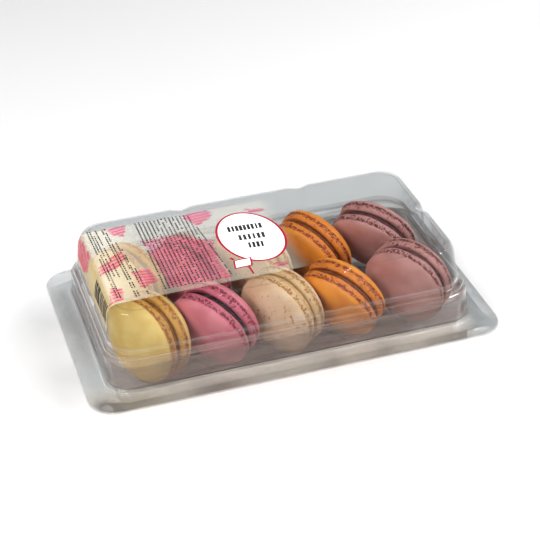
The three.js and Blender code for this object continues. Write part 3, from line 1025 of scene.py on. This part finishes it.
def dash_tree() -> GeometryTree:
    """Builds the tree that sets a row of short dashes along each guide line."""
    inputs = {
        "Pitch": "Float",
        "Dash Size": "Vector",
        "Shortest": "Float",
        "Share Kept": "Float",
        "Seed": "Int",
    }
    tree = GeometryTree("dash_rows", inputs)
    graph = tree.graph
    line = graph.node("GeometryNodeMeshToCurve", Mesh=tree.given("Geometry"))
    marks = graph.node(
        "GeometryNodeResampleCurve", {"mode": "LENGTH"}, Curve=line.outputs[0], Length=tree.given("Pitch")
    )
    dash = graph.node("GeometryNodeMeshCube", Size=tree.given("Dash Size"))
    kept = graph.node(
        "FunctionNodeRandomValue", {"data_type": "BOOLEAN"}, Probability=tree.given("Share Kept"),
        Seed=tree.given("Seed"),
    )
    length = graph.node(
        "FunctionNodeRandomValue", {"data_type": "FLOAT"}, Min=tree.given("Shortest"), Max=1.0,
        Seed=tree.given("Seed"),
    )
    scale = graph.node("ShaderNodeCombineXYZ", X=graph.output(length, "Value"), Y=1.0, Z=1.0)
    along = graph.node("GeometryNodeInputTangent")
    turned = graph.node("FunctionNodeAlignRotationToVector", {"axis": "X"}, Vector=along.outputs[0])
    placed = graph.node(
        "GeometryNodeInstanceOnPoints", Points=marks.outputs[0], Selection=graph.output(kept, "Value"),
        Instance=dash.outputs[0], Rotation=turned.outputs[0], Scale=scale.outputs[0],
    )
    real = graph.node("GeometryNodeRealizeInstances", Geometry=placed.outputs[0])
    tree.finish(real.outputs[0])
    return tree


@dataclass(frozen=True)
class MacaronForm:
    """Sizes that all macarons share, and how their shells and fillings are meshed."""

    filling_half: float = 1.8
    filling_recess: float = 2.6
    filling_bulge: float = 0.5
    foot_height: float = 3.4
    foot_ruffle: float = 0.45
    dome_fullness: float = 0.62
    turns: int = 180
    dome_steps: int = 18
    pit_depth: float = 0.5
    pit_size: float = 1.5
    dent_depth: float = 0.22
    lip: float = 0.5

    def ruffle(self, angle: float, seed: float) -> float:
        """Wavy outline of a foot at an angle, between -1 and 1, unlike on any other shell."""
        return 0.6 * math.sin(5 * angle + seed * 1.7) + 0.4 * math.sin(8 * angle + seed * 2.9)

    def section(self, radius: float, half: float) -> list[tuple[float, float, float, float]]:
        """Lists the shell's section from its flat face to its dome's top.

        Args:
            radius: The macaron's radius.
            half: Half its thickness.

        Returns:
            Radius, height, share of the ruffle and share of foot, for each ring.
        """
        face, top = self.filling_half, self.filling_half + self.foot_height
        rise = half - top
        rings = [
            (radius * 0.5, face, 0.0, 0.3),
            (radius - 3.2, face, 0.2, 0.3),
            (radius - 1.9, face - 0.25, 0.9, 0.3),
            (radius - 1.3, face - 0.45, 1.0, 0.3),
            (radius - 0.7, face - 0.1, 1.0, 0.3),
            (radius - 0.3, face + 0.6, 1.0, 0.35),
            (radius - 0.1, face + 1.3, 1.0, 0.45),
            (radius - 0.1, face + 1.9, 0.9, 0.6),
            (radius - 0.3, face + 2.5, 0.8, 0.85),
            (radius - 0.6, face + 3.0, 0.6, 1.0),
            (radius - 0.75, top, 0.5, 1.0),
            (radius - 0.45, top + 0.25, 0.3, 1.0),
            (radius - 0.15, top + 0.6, 0.2, 0.7),
        ]
        start = math.asin(min(1.0, 0.6 / rise)) * 1.25
        for step in range(1, self.dome_steps):
            turn = start + (math.pi / 2 - start) * step / self.dome_steps
            reach = (radius - 0.1) * math.cos(turn) ** self.dome_fullness
            rings.append((reach, top + rise * math.sin(turn), 0.0, 0.0))
        return rings

    def shell(self, macaron: Macaron, side: Side, seed: float) -> MeshDraft:
        """Makes one shell in its place in the pack."""
        basis, middle = macaron.basis(), macaron.middle
        flip = Matrix.Diagonal((1, -1, -1)) if side is Side.LEFT else Matrix.Identity(3)
        draft = MeshDraft()
        radius, half = macaron.size / 2, macaron.thick / 2
        starts = []
        for reach, height, wave, foot in self.section(radius, half):
            points = []
            for step in range(self.turns):
                angle = step / self.turns * 2 * math.pi
                out = reach + wave * self.foot_ruffle * self.ruffle(angle, seed)
                local = Vector((out * math.cos(angle), out * math.sin(angle), height))
                sample = local + Vector((seed * 61.0, seed * 17.0, 0.0))
                dent = self.dent_depth * noise.noise(sample / 9.0)
                hollow = max(noise.noise(sample / self.pit_size) + 0.1, 0.0)
                pit = self.pit_depth * hollow * min(foot * 1.5, 1.0)
                away = Vector((local.x, local.y, (height - self.filling_half) * 0.8)).normalized()
                local -= away * (pit + abs(dent))
                local.z = max(local.z, self.filling_half - self.lip)
                points.append(middle + basis @ (flip @ local))
            starts.append(draft.add_points(points, foot))
        draft.loft(starts, self.turns)
        poles = ((self.filling_half, starts[0], 1.0), (half - self.dent_depth * 0.5, starts[-1], 0.0))
        for height, ring, foot in poles:
            pole = draft.add_points([middle + basis @ (flip @ Vector((0.0, 0.0, height)))], foot)
            draft.fan(ring, self.turns, pole)
        return draft

    def filling(self, macaron: Macaron, seed: float) -> MeshDraft:
        """Makes the disc of filling, uneven where it shows."""
        basis, middle = macaron.basis(), macaron.middle
        half = self.filling_half - CLEARANCE
        edge = macaron.size / 2 - self.filling_recess
        section = [
            (edge * 0.6, -half),
            (edge - 0.2, -half),
            (edge + 0.15, -half * 0.7),
            (edge + self.filling_bulge, 0.0),
            (edge + 0.15, half * 0.7),
            (edge - 0.2, half),
            (edge * 0.6, half),
        ]
        draft = MeshDraft()
        starts = []
        for reach, height in section:
            points = []
            for step in range(self.turns):
                angle = step / self.turns * 2 * math.pi
                spot = Vector((math.cos(angle) * 7, math.sin(angle) * 7, height + seed * 31.0))
                out = reach + 0.35 * noise.noise(spot) * (1 - abs(height) / half * 0.5)
                local = Vector((out * math.cos(angle), out * math.sin(angle), height))
                points.append(middle + basis @ local)
            starts.append(draft.add_points(points))
        draft.loft(starts, self.turns)
        for height, ring in ((-half, starts[0]), (half, starts[-1])):
            pole = draft.add_points([middle + basis @ Vector((0.0, 0.0, height))])
            draft.fan(ring, self.turns, pole)
        return draft


@dataclass
class MacaronRows:
    """All the macarons in the pack, each as two shells and a filling."""

    macarons: Sequence[Macaron]
    form: MacaronForm = MacaronForm()
    crumb_density: float = 60000.0
    crumb_smallest: float = 0.2
    crumb_largest: float = 0.42

    def build(self) -> None:
        """Makes every macaron's pieces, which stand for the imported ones."""
        shells = {colour: finish.build() for colour, finish in SHELL_FINISHES.items()}
        fillings = {colour: finish.build() for colour, finish in FILLING_FINISHES.items()}
        crumbs = crumb_tree()
        for index, macaron in enumerate(self.macarons):
            colour = macaron.colour
            for side, seed in ((Side.RIGHT, index), (Side.LEFT, index + 0.5)):
                node = f"{macaron.prefix}_shell_{side.value}"
                draft = self.form.shell(macaron, side, seed)
                piece = draft.piece(f"{node}_baked", shells[colour], "foot")
                crumbs.apply(
                    piece, Density=self.crumb_density, Smallest=self.crumb_smallest * MM,
                    Largest=self.crumb_largest * MM, Seed=int(seed * 2) + 1, Material=shells[colour],
                )
                place_piece(piece, node)
            node = f"{macaron.prefix}_filling"
            piece = self.form.filling(macaron, index).piece(f"{node}_soft", fillings[colour])
            place_piece(piece, node)


def place_piece(piece: Piece, node: str | None = None) -> None:
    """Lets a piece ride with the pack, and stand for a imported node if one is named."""
    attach(piece, BODY)
    if node:
        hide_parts(node)
    LOG.info("piece %s has %d faces", piece.name, len(piece.data.polygons))


@dataclass
class FilmSurface:
    """The surface that the printed film follows, unrolled.

    A place on it is given as x and y on the lid's flat top. An x beyond the top's left edge goes
    on down the end wall.
    """

    rings: Sequence[Ring]

    def __post_init__(self) -> None:
        """Works out the path over the edge once."""
        half_x = FLANGE_LENGTH / 2 - LID_RIM_SETBACK
        half_y = FLANGE_WIDTH / 2 - LID_RIM_SETBACK
        low = [ring for ring in self.rings if ring.height < FILM_LOW_HEIGHT][0]
        bent = rounded(self.rings, SHEET_BEND)
        path = [ring for ring in bent if ring.height > FILM_LOW_HEIGHT and ring.groove > 0.99]
        last = path[-1]
        path.append(last.towards(low, (last.height - FILM_LOW_HEIGHT) / (last.height - low.height)))
        self.path = [
            (-(half_x - ring.inset_x), half_y - ring.inset_y, LID_FLANGE_TOP + ring.height, ring.corner)
            for ring in path
        ]
        self.edge_x = self.path[0][0]
        self.lengths = [0.0]
        for before, after in zip(self.path, self.path[1:]):
            self.lengths.append(self.lengths[-1] + math.hypot(after[0] - before[0], after[2] - before[2]))

    @property
    def low_x(self) -> float:
        """Unrolled x of the film's low edge."""
        return self.edge_x - self.lengths[-1]

    def point(self, x: float, y: float, lift: float) -> Point:
        """Places a point of the unrolled film.

        Args:
            x, y: The place on the unrolled film.
            lift: How far it lies off the lid.

        Returns:
            The point in the pack.
        """
        if x >= self.edge_x:
            return (x, y, self.path[0][2] + lift)
        run = min(self.edge_x - x, self.lengths[-1] - 1e-6)
        place = next(i for i, length in enumerate(self.lengths[1:]) if length > run)
        share = (run - self.lengths[place]) / (self.lengths[place + 1] - self.lengths[place])
        before, after = self.path[place], self.path[place + 1]
        wall_x, half_y, z, corner = (a + (b - a) * share for a, b in zip(before, after))
        slope = Vector((after[0] - before[0], 0.0, after[2] - before[2])).normalized()
        beyond = min(max(abs(y) - (half_y - corner), 0.0), corner)
        turned_in = corner - math.sqrt(corner**2 - beyond**2)
        return (wall_x + turned_in + slope.z * lift, y, z - slope.x * lift)


@dataclass
class PrintedFilm:
    """The milky film over the pack's left part, and the plain shapes printed on it."""

    surface: FilmSurface
    base_lift: float = CLEARANCE
    thickness: float = 0.1
    pitch: float = 2.0
    rows: int = 30

    def lift(self, layer: InkLayer) -> float:
        """How far a layer of print lies off the lid."""
        return self.base_lift + self.thickness + layer.value

    def sheet(self) -> MeshDraft:
        """Makes the film's own thin sheet."""
        columns = int((FILM_RIGHT_X - self.surface.low_x) / self.pitch) + 1
        xs = [FILM_RIGHT_X - step * self.pitch for step in range(columns)]
        xs.append(self.surface.low_x)
        ys = [FILM_HALF_WIDTH * (step / self.rows * 2 - 1) for step in range(self.rows + 1)]
        draft = MeshDraft()
        starts = []
        for x in xs:
            low = [self.surface.point(x, y, self.base_lift) for y in ys]
            high = [self.surface.point(x, y, self.base_lift + self.thickness) for y in reversed(ys)]
            starts.append(draft.add_points(low + high))
        count = 2 * len(ys)
        draft.loft(starts, count)
        for start in (starts[0], starts[-1]):
            for step in range(len(ys) - 1):
                far = start + count - 1 - step
                draft.faces.append((start + step, start + step + 1, far - 1, far))
        return draft

    def patch(self, draft: MeshDraft, outline: Sequence[Spot], layer: InkLayer) -> None:
        """Adds a thin flat shape of ink with the given outline."""
        count = len(outline)
        middle = [sum(part) / count for part in zip(*outline)]
        heights = (self.lift(layer), self.lift(layer) + INK)
        starts = []
        for height in heights:
            starts.append(draft.add_points(self.surface.point(x, y, height) for x, y in outline))
        draft.loft(starts, count)
        for start, height in zip(starts, heights):
            draft.fan(start, count, draft.add_points([self.surface.point(*middle, height)]))

    def stroke(self, draft: MeshDraft, line: Line, width: float, layer: InkLayer) -> None:
        """Adds a thin straight stroke of ink."""
        start, end = line
        run = Vector((end[0] - start[0], end[1] - start[1]))
        side = Vector((-run.y, run.x)).normalized() * width / 2
        steps = max(2, round(run.length / self.pitch))
        lift = self.lift(layer)
        rings = []
        for step in range(steps + 1):
            share = step / steps
            spot = Vector(start) + run * share
            corners = (spot + side, spot - side)
            low = [self.surface.point(c.x, c.y, lift) for c in corners]
            high = [self.surface.point(c.x, c.y, lift + INK) for c in reversed(corners)]
            rings.append(draft.add_points(low + high))
        draft.loft(rings, 4)
        for ring in (rings[0], rings[-1]):
            draft.faces.append((ring, ring + 1, ring + 2, ring + 3))


@dataclass(frozen=True)
class BrushPatch:
    """An area of the print that is filled with brushed strokes."""

    outline: Sequence[Spot]
    direction: Spot
    hatch_width: float = 1.35

    def strokes(self, rng: random.Random, pitch: float, ragged: float) -> list[Line]:
        """Works out parallel strokes that cross the area.

        Args:
            rng: The seeded source of the unevenness.
            pitch: Distance between strokes.
            ragged: How far a stroke's end may lie from the area's edge.

        Returns:
            Start and end of each stroke.
        """
        along = Vector(self.direction).normalized()
        across = Vector((-along.y, along.x))
        corners = [Vector(corner) for corner in self.outline]
        offsets = [corner.dot(across) for corner in corners]
        found = []
        offset = min(offsets) + pitch / 2
        while offset < max(offsets):
            cuts = []
            for first, second in zip(corners, corners[1:] + corners[:1]):
                a, b = first.dot(across) - offset, second.dot(across) - offset
                if a * b < 0:
                    cuts.append((first + (second - first) * (a / (a - b))).dot(along))
            if len(cuts) >= 2:
                low = min(cuts) - rng.uniform(-1.0, 1.0) * ragged
                high = max(cuts) + rng.uniform(-1.0, 1.0) * ragged
                ends = [along * reach + across * offset for reach in (low, high)]
                found.append(((ends[0].x, ends[0].y), (ends[1].x, ends[1].y)))
            offset += pitch
        return found


BRUSH_PATCHES = (
    BrushPatch(
        ((-61, 17), (-58.5, 2), (-57.5, -31), (-26, -32), (-28.6, -15.5), (-25.8, 6), (-31.5, 8),
         (-47.7, 17.5)),
        (1.0, 0.12), 0.6,
    ),
    BrushPatch(((-34, 35.3), (-20, 35), (-20, 27.6), (-29, 22), (-34, 30)), (1.0, 0.1)),
    BrushPatch(((-1.2, 29), (7.5, 27.5), (7.0, 24), (0.5, 25)), (1.0, -0.1)),
    BrushPatch(((-76, 35.3), (-65, 35.3), (-68, 25), (-73, 28)), (1.0, 0.2)),
    BrushPatch(((-72, -10), (-63, -9.5), (-61, -22), (-70, -26)), (1.0, -0.15)),
    BrushPatch(((-81, 4), (-74, 12), (-71, 8), (-73, 1), (-79, -4.6), (-87, -7.4), (-86, 0)), (1.0, 0.5)),
    BrushPatch(((-85, -21), (-80, -23.6), (-81, -33.5), (-88, -35)), (1.0, 0.2)),
    BrushPatch(((-3.5, -26), (3.8, -28), (3.0, -31), (-2.5, -30)), (1.0, 0.1)),
    BrushPatch(((-89, 35), (-88, 12), (-95, 10), (-101, 20), (-100, 35)), (0.2, 1.0)),
)


@dataclass(frozen=True)
class DashStyle:
    """How the dashes of one piece are set along their rows.

    length and width are those of the longest dash, shortest is the share of that length that the
    shortest one has, and kept is the share of the places that hold a dash.
    """

    length: float
    width: float
    pitch: float = 2.0
    kept: float = 1.0
    shortest: float = 0.55
    layer: InkLayer = InkLayer.DASHES


# The second colour is painted shade for the film on the end wall
MILKY_FILM = FilmFinish("milky_film", srgb(216, 208, 188), srgb(174, 158, 116), 0.12, 0.37, 0.3)
PALE_INK = InkFinish(
    "pale_pink_ink", srgb(218, 134, 156), srgb(202, 106, 130), srgb(253, 235, 241), 0.03, 0.12, 5.0
)
DEEP_INK = InkFinish(
    "deep_pink_ink", srgb(206, 108, 146), srgb(176, 72, 112), srgb(252, 216, 229), 0.03, 0.13, 4.0
)
DARK_INK = InkFinish("dark_ink", srgb(44, 40, 44), srgb(26, 24, 28), srgb(90, 90, 90), 0.9, 1.0, 3.0)
RED_INK = InkFinish("red_ink", srgb(150, 22, 50), srgb(140, 18, 44), srgb(200, 60, 80), 0.95, 1.0, 4.0)
WHITE_INK = InkFinish(
    "white_ink", srgb(250, 250, 250), srgb(246, 246, 246), srgb(250, 250, 250), 0.97, 1.0, 4.0
)

# Rows of dashes near the pack's left end, and the single row before the oval
SIDE_ROWS = (
    ((-85.0, 35.0), (-83.6, -29.9)),
    ((-83.6, 35.0), (-82.2, -30.5)),
    ((-82.2, 30.0), (-80.8, -10.0)),
    ((-80.6, 35.0), (-78.6, -12.0)),
    ((-77.2, 35.0), (-74.6, -32.0)),
    ((-75.8, 35.0), (-73.2, -32.0)),
    ((-73.0, 20.0), (-72.0, -6.0)),
    ((-71.6, 14.0), (-70.6, -20.0)),
    ((-69.4, -8.0), (-68.6, -32.0)),
    ((-29.9, 20.4), (-25.6, -28.6)),
)
OVAL_ROWS = (
    ((-15.0, 12.0), (1.4, 10.6)),
    ((-11.8, 2.2), (0.2, 1.0)),
    ((-9.2, -6.4), (-2.8, -7.2)),
)


@dataclass
class PackPrint:
    """The film with its print: brushed patches, rows of dashes, an oval field and a block of bars."""

    film: PrintedFilm
    seed: int = 11
    field_pitch: float = 1.2
    field_width: float = 1.19
    field_ragged: float = 0.45
    hatch_pitch: float = 2.7
    hatch_ragged: float = 1.3
    oval_middle: Spot = (-6.1, 1.8)
    oval_half: Spot = (17.1, 25.4)
    oval_turn: float = 5.4
    oval_border: float = 1.3
    oval_steps: int = 96
    tag: Sequence[Spot] = ((-21.4, -17.9), (-11.8, -17.7), (-13.2, -25.4), (-22.8, -25.6))
    tag_field: Sequence[Spot] = ((-20.6, -18.7), (-12.9, -18.6), (-14.0, -24.5), (-21.7, -24.7))
    tag_strings: Sequence[tuple[Line, float]] = (
        (((-15.4, -24.8), (-15.1, -33.0)), 1.0),
        (((-22.1, -15.0), (-20.7, -17.0)), 1.6),
    )
    block_rows: int = 15
    block_left: float = -59.5
    block_width: float = 28.0
    block_y: Spot = (35.0, -30.5)
    block_slant: float = 0.8
    block_ragged: float = 0.6
    bars_x: Spot = (-89.5, -99.0)
    bars_y: Spot = (-8.5, -34.5)
    bar_widths: Sequence[float] = (0.8, 1.5, 2.4)
    bar_gaps: Sequence[float] = (0.6, 0.9, 1.3)

    def oval_outline(self, grow: float) -> list[Spot]:
        """Lists the oval's outline, larger by a width all round."""
        turn = math.radians(self.oval_turn)
        outline = []
        for step in range(self.oval_steps):
            angle = step / self.oval_steps * 2 * math.pi
            x = (self.oval_half[0] + grow) * math.cos(angle)
            y = (self.oval_half[1] + grow) * math.sin(angle)
            outline.append((
                self.oval_middle[0] + x * math.cos(turn) - y * math.sin(turn),
                self.oval_middle[1] + x * math.sin(turn) + y * math.cos(turn),
            ))
        return outline

    def block_lines(self) -> list[Line]:
        """Places the rows of the large block of dashes, from its left row to its right one."""
        rng = random.Random(self.seed)
        ragged = self.block_ragged
        rows = []
        for step in range(self.block_rows):
            share = step / (self.block_rows - 1)
            back = self.block_y[0] - self.block_slant * share + rng.uniform(-ragged, ragged)
            front = self.block_y[1] + rng.uniform(-ragged, ragged)
            x = self.block_left + share * self.block_width
            rows.append(((x, back), (x, front)))
        return rows

    def dashes(
        self, name: str, lines: Sequence[Line], style: DashStyle, tree: GeometryTree, ink: Material
    ) -> None:
        """Makes one piece of dash rows and places it.

        Args:
            name: The piece's name.
            lines: Start and end of each row.
            style: The form of the dashes.
            tree: The tree that sets them along the rows.
            ink: Their material.
        """
        lift = self.film.lift(style.layer)
        spots = [self.film.surface.point(*spot, lift) for line in lines for spot in line]
        mesh = bpy.data.meshes.new(name)
        edges = [(start, start + 1) for start in range(0, len(spots), 2)]
        mesh.from_pydata([Vector(spot) * MM for spot in spots], edges, [])
        piece = bpy.data.objects.new(name, mesh)
        bpy.context.scene.collection.objects.link(piece)
        tree.apply(
            piece, Pitch=style.pitch * MM, Dash_Size=(style.length * MM, style.width * MM, INK * MM),
            Shortest=style.shortest, Share_Kept=style.kept, Seed=self.seed, Material=ink,
        )
        place_piece(piece)

    def flat(self, name: str, draft: MeshDraft, ink: Material) -> None:
        """Makes one piece of flat shapes and places it."""
        place_piece(draft.piece(name, ink, smooth=False))

    def brushwork(self, rng: random.Random) -> None:
        """Makes the pale fields and the broken hatching over them."""
        fields, hatching = MeshDraft(), MeshDraft()
        for patch in BRUSH_PATCHES:
            for line in patch.strokes(rng, self.field_pitch, self.field_ragged):
                self.film.stroke(fields, line, self.field_width, InkLayer.FIELDS)
            for line in patch.strokes(rng, self.hatch_pitch, self.hatch_ragged):
                self.film.stroke(hatching, line, patch.hatch_width, InkLayer.HATCHING)
        self.flat("pale_fields", fields, PALE_INK.build())
        self.flat("brush_hatching", hatching, DEEP_INK.build())

    def oval(self) -> None:
        """Makes the oval and the small tag under it, each a pale field with a red edge."""
        edge, field = MeshDraft(), MeshDraft()
        self.film.patch(edge, self.oval_outline(0.0), InkLayer.DASHES)
        self.film.patch(edge, self.tag, InkLayer.TAG)
        for line, width in self.tag_strings:
            self.film.stroke(edge, line, width, InkLayer.DASHES)
        self.flat("oval_edge", edge, RED_INK.build())
        self.film.patch(field, self.oval_outline(-self.oval_border), InkLayer.OVAL_FIELD)
        self.film.patch(field, self.tag_field, InkLayer.TAG_FIELD)
        self.flat("oval_field", field, WHITE_INK.build())

    def bars(self, rng: random.Random, ink: Material) -> None:
        """Makes the block of plain bars on the end wall."""
        draft = MeshDraft()
        left, right = self.bars_x
        place, last = self.bars_y
        while place > last:
            width = rng.choice(self.bar_widths)
            self.film.stroke(draft, ((left, place), (right, place)), width, InkLayer.HATCHING)
            place -= width + rng.choice(self.bar_gaps)
        self.flat("bar_block", draft, ink)

    def build(self) -> None:
        """Makes the film and all that is printed on it."""
        film = self.film.sheet().piece("film_sheet", MILKY_FILM.build())
        place_piece(film, "printed_film")
        rng = random.Random(self.seed)
        self.brushwork(rng)
        dark = DARK_INK.build()
        tree = dash_tree()
        self.dashes("dash_block", self.block_lines(), DashStyle(1.75, 0.8, kept=0.9), tree, dark)
        self.dashes("dash_strips", SIDE_ROWS, DashStyle(1.75, 0.75, kept=0.88), tree, dark)
        self.oval()
        oval_style = DashStyle(1.75, 5.4, pitch=2.05, layer=InkLayer.OVAL_DASHES)
        self.dashes("oval_dashes", OVAL_ROWS, oval_style, tree, dark)
        self.bars(rng, dark)


@dataclass(frozen=True)
class Lamp:
    """A square area light, with its place and side in metres and its power in watts."""

    name: str
    place: Point
    size: float
    energy: float

    def hang(self, target: Point) -> None:
        """Hangs the light so that it points at a target."""
        data = bpy.data.lights.new(self.name, "AREA")
        data.shape, data.size, data.energy = "SQUARE", self.size, self.energy
        lamp = bpy.data.objects.new(self.name, data)
        away = Vector(self.place) - Vector(target)
        lamp.location = self.place
        lamp.rotation_mode = "QUATERNION"
        lamp.rotation_quaternion = away.to_track_quat("Z", "Y")
        bpy.context.scene.collection.objects.link(lamp)


LAMPS = (
    Lamp("left_softbox", (-0.8, -0.3, 1.0), 0.6, 18.5),
    Lamp("right_softbox", (0.95, -0.2, 0.9), 0.6, 18.5),
    Lamp("small_lamp_left", (-0.5, -0.85, 0.55), 0.08, 3.5),
    Lamp("small_lamp_right", (0.8, -0.6, 0.7), 0.08, 3.5),
)


@dataclass
class Studio:
    """Floor, lamps, light from all round and camera."""

    azimuth: float = -15.93
    elevation: float = 32.411
    roll: float = -2.503
    distance: float = 876.41
    target: Point = (10.709, 27.891, 14.0)
    lens: float = 107.72
    sensor: float = 36.0
    lamps: Sequence[Lamp] = LAMPS
    lamp_target: Point = (0.0, 0.0, 0.03)
    floor_half: float = 2500.0
    floor_steps: int = 12
    wall_light: float = 1.15
    ceiling_light: float = 0.1

    def camera(self) -> None:
        """Places the camera at the photograph's viewing angle."""
        a, e, r = (math.radians(v) for v in (self.azimuth, self.elevation, self.roll))
        back = Vector((math.sin(a) * math.cos(e), -math.cos(a) * math.cos(e), math.sin(e)))
        level = Vector((math.cos(a), math.sin(a), 0.0))
        upright = back.cross(level)
        right = level * math.cos(r) + upright * math.sin(r)
        up = upright * math.cos(r) - level * math.sin(r)
        data = bpy.data.cameras.new("camera")
        data.lens, data.sensor_width = self.lens, self.sensor
        camera = bpy.data.objects.new("camera", data)
        frame = Matrix((right, up, back)).transposed().to_4x4()
        frame.translation = (Vector(self.target) + back * self.distance) * MM
        camera.matrix_world = frame
        bpy.context.scene.collection.objects.link(camera)
        bpy.context.scene.camera = camera

    def floor(self) -> None:
        """Lays a wide pale floor under the pack."""
        draft = MeshDraft()
        count = self.floor_steps + 1
        places = [self.floor_half * (2 * step / self.floor_steps - 1) for step in range(count)]
        rows = [draft.add_points((x, y, 0.0) for x in places) for y in places]
        draft.loft(rows, count, closed=False)
        finish = FloorFinish("pale_floor", srgb(208, 208, 208), srgb(205, 205, 205))
        floor = draft.piece("studio_floor", finish.build())
        if floor.data.polygons[0].normal.z < 0:
            floor.data.flip_normals()

    def surroundings(self) -> bpy.types.World:
        """Makes the light from all round: bright walls under a darker ceiling."""
        world = bpy.data.worlds.new("studio")
        world.use_nodes = True
        graph = Graph(world.node_tree)
        place = graph.output(graph.node("ShaderNodeTexCoord"), "Generated")
        height = graph.output(graph.node("ShaderNodeSeparateXYZ", Vector=place), "Z")
        strength = graph.ramp(height, 0.2, 0.52, self.wall_light, self.ceiling_light)
        light = graph.node("ShaderNodeBackground", Color=opaque((1.0, 1.0, 1.0)), Strength=strength)
        graph.node("ShaderNodeOutputWorld", Surface=light.outputs[0])
        return world

    def build(self) -> None:
        """Sets up the whole studio."""
        scene = bpy.context.scene
        self.camera()
        self.floor()
        for lamp in self.lamps:
            lamp.hang(self.lamp_target)
        scene.world = self.surroundings()
        scene.view_settings.view_transform = "Standard"
        scene.cycles.transparent_max_bounces = 32


LID_PLASTIC = ClearPlastic(
    name="clear_lid_plastic",
    tint=(0.855, 0.865, 0.868),
    haze_colour=srgb(190, 194, 195),
    # The front, end and skirt tones are painted shade, and the two line colours are a painted highlight
    # and a painted shade line
    front_shade_colour=srgb(184, 175, 164),
    end_shade_colour=srgb(120, 126, 128),
    skirt_shade_colour=srgb(132, 112, 104),
    highlight_line_colour=srgb(226, 226, 226),
    shade_line_colour=srgb(44, 34, 32),
)
# The tray keeps the lid's painted shade tones and painted lines
TRAY_PLASTIC = replace(LID_PLASTIC, name="clear_tray_plastic", tint=(0.915, 0.905, 0.90))


def main() -> None:
    """Builds the dressed pack and its studio."""
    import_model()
    lid = Lid(LID_RINGS, LID_FLANGE_TOP, LID_RIM_SETBACK).build(LID_PLASTIC)
    place_piece(lid, "lid")
    tray = Tray(TRAY_RINGS, TRAY_FLANGE_TOP, 0.0).build(TRAY_PLASTIC, MACARONS)
    place_piece(tray, "tray")
    MacaronRows(MACARONS).build()
    PackPrint(PrintedFilm(FilmSurface(FILM_RINGS))).build()
    Studio().build()


if __name__ == "__main__":
    logging.basicConfig(level=logging.INFO)
    main()
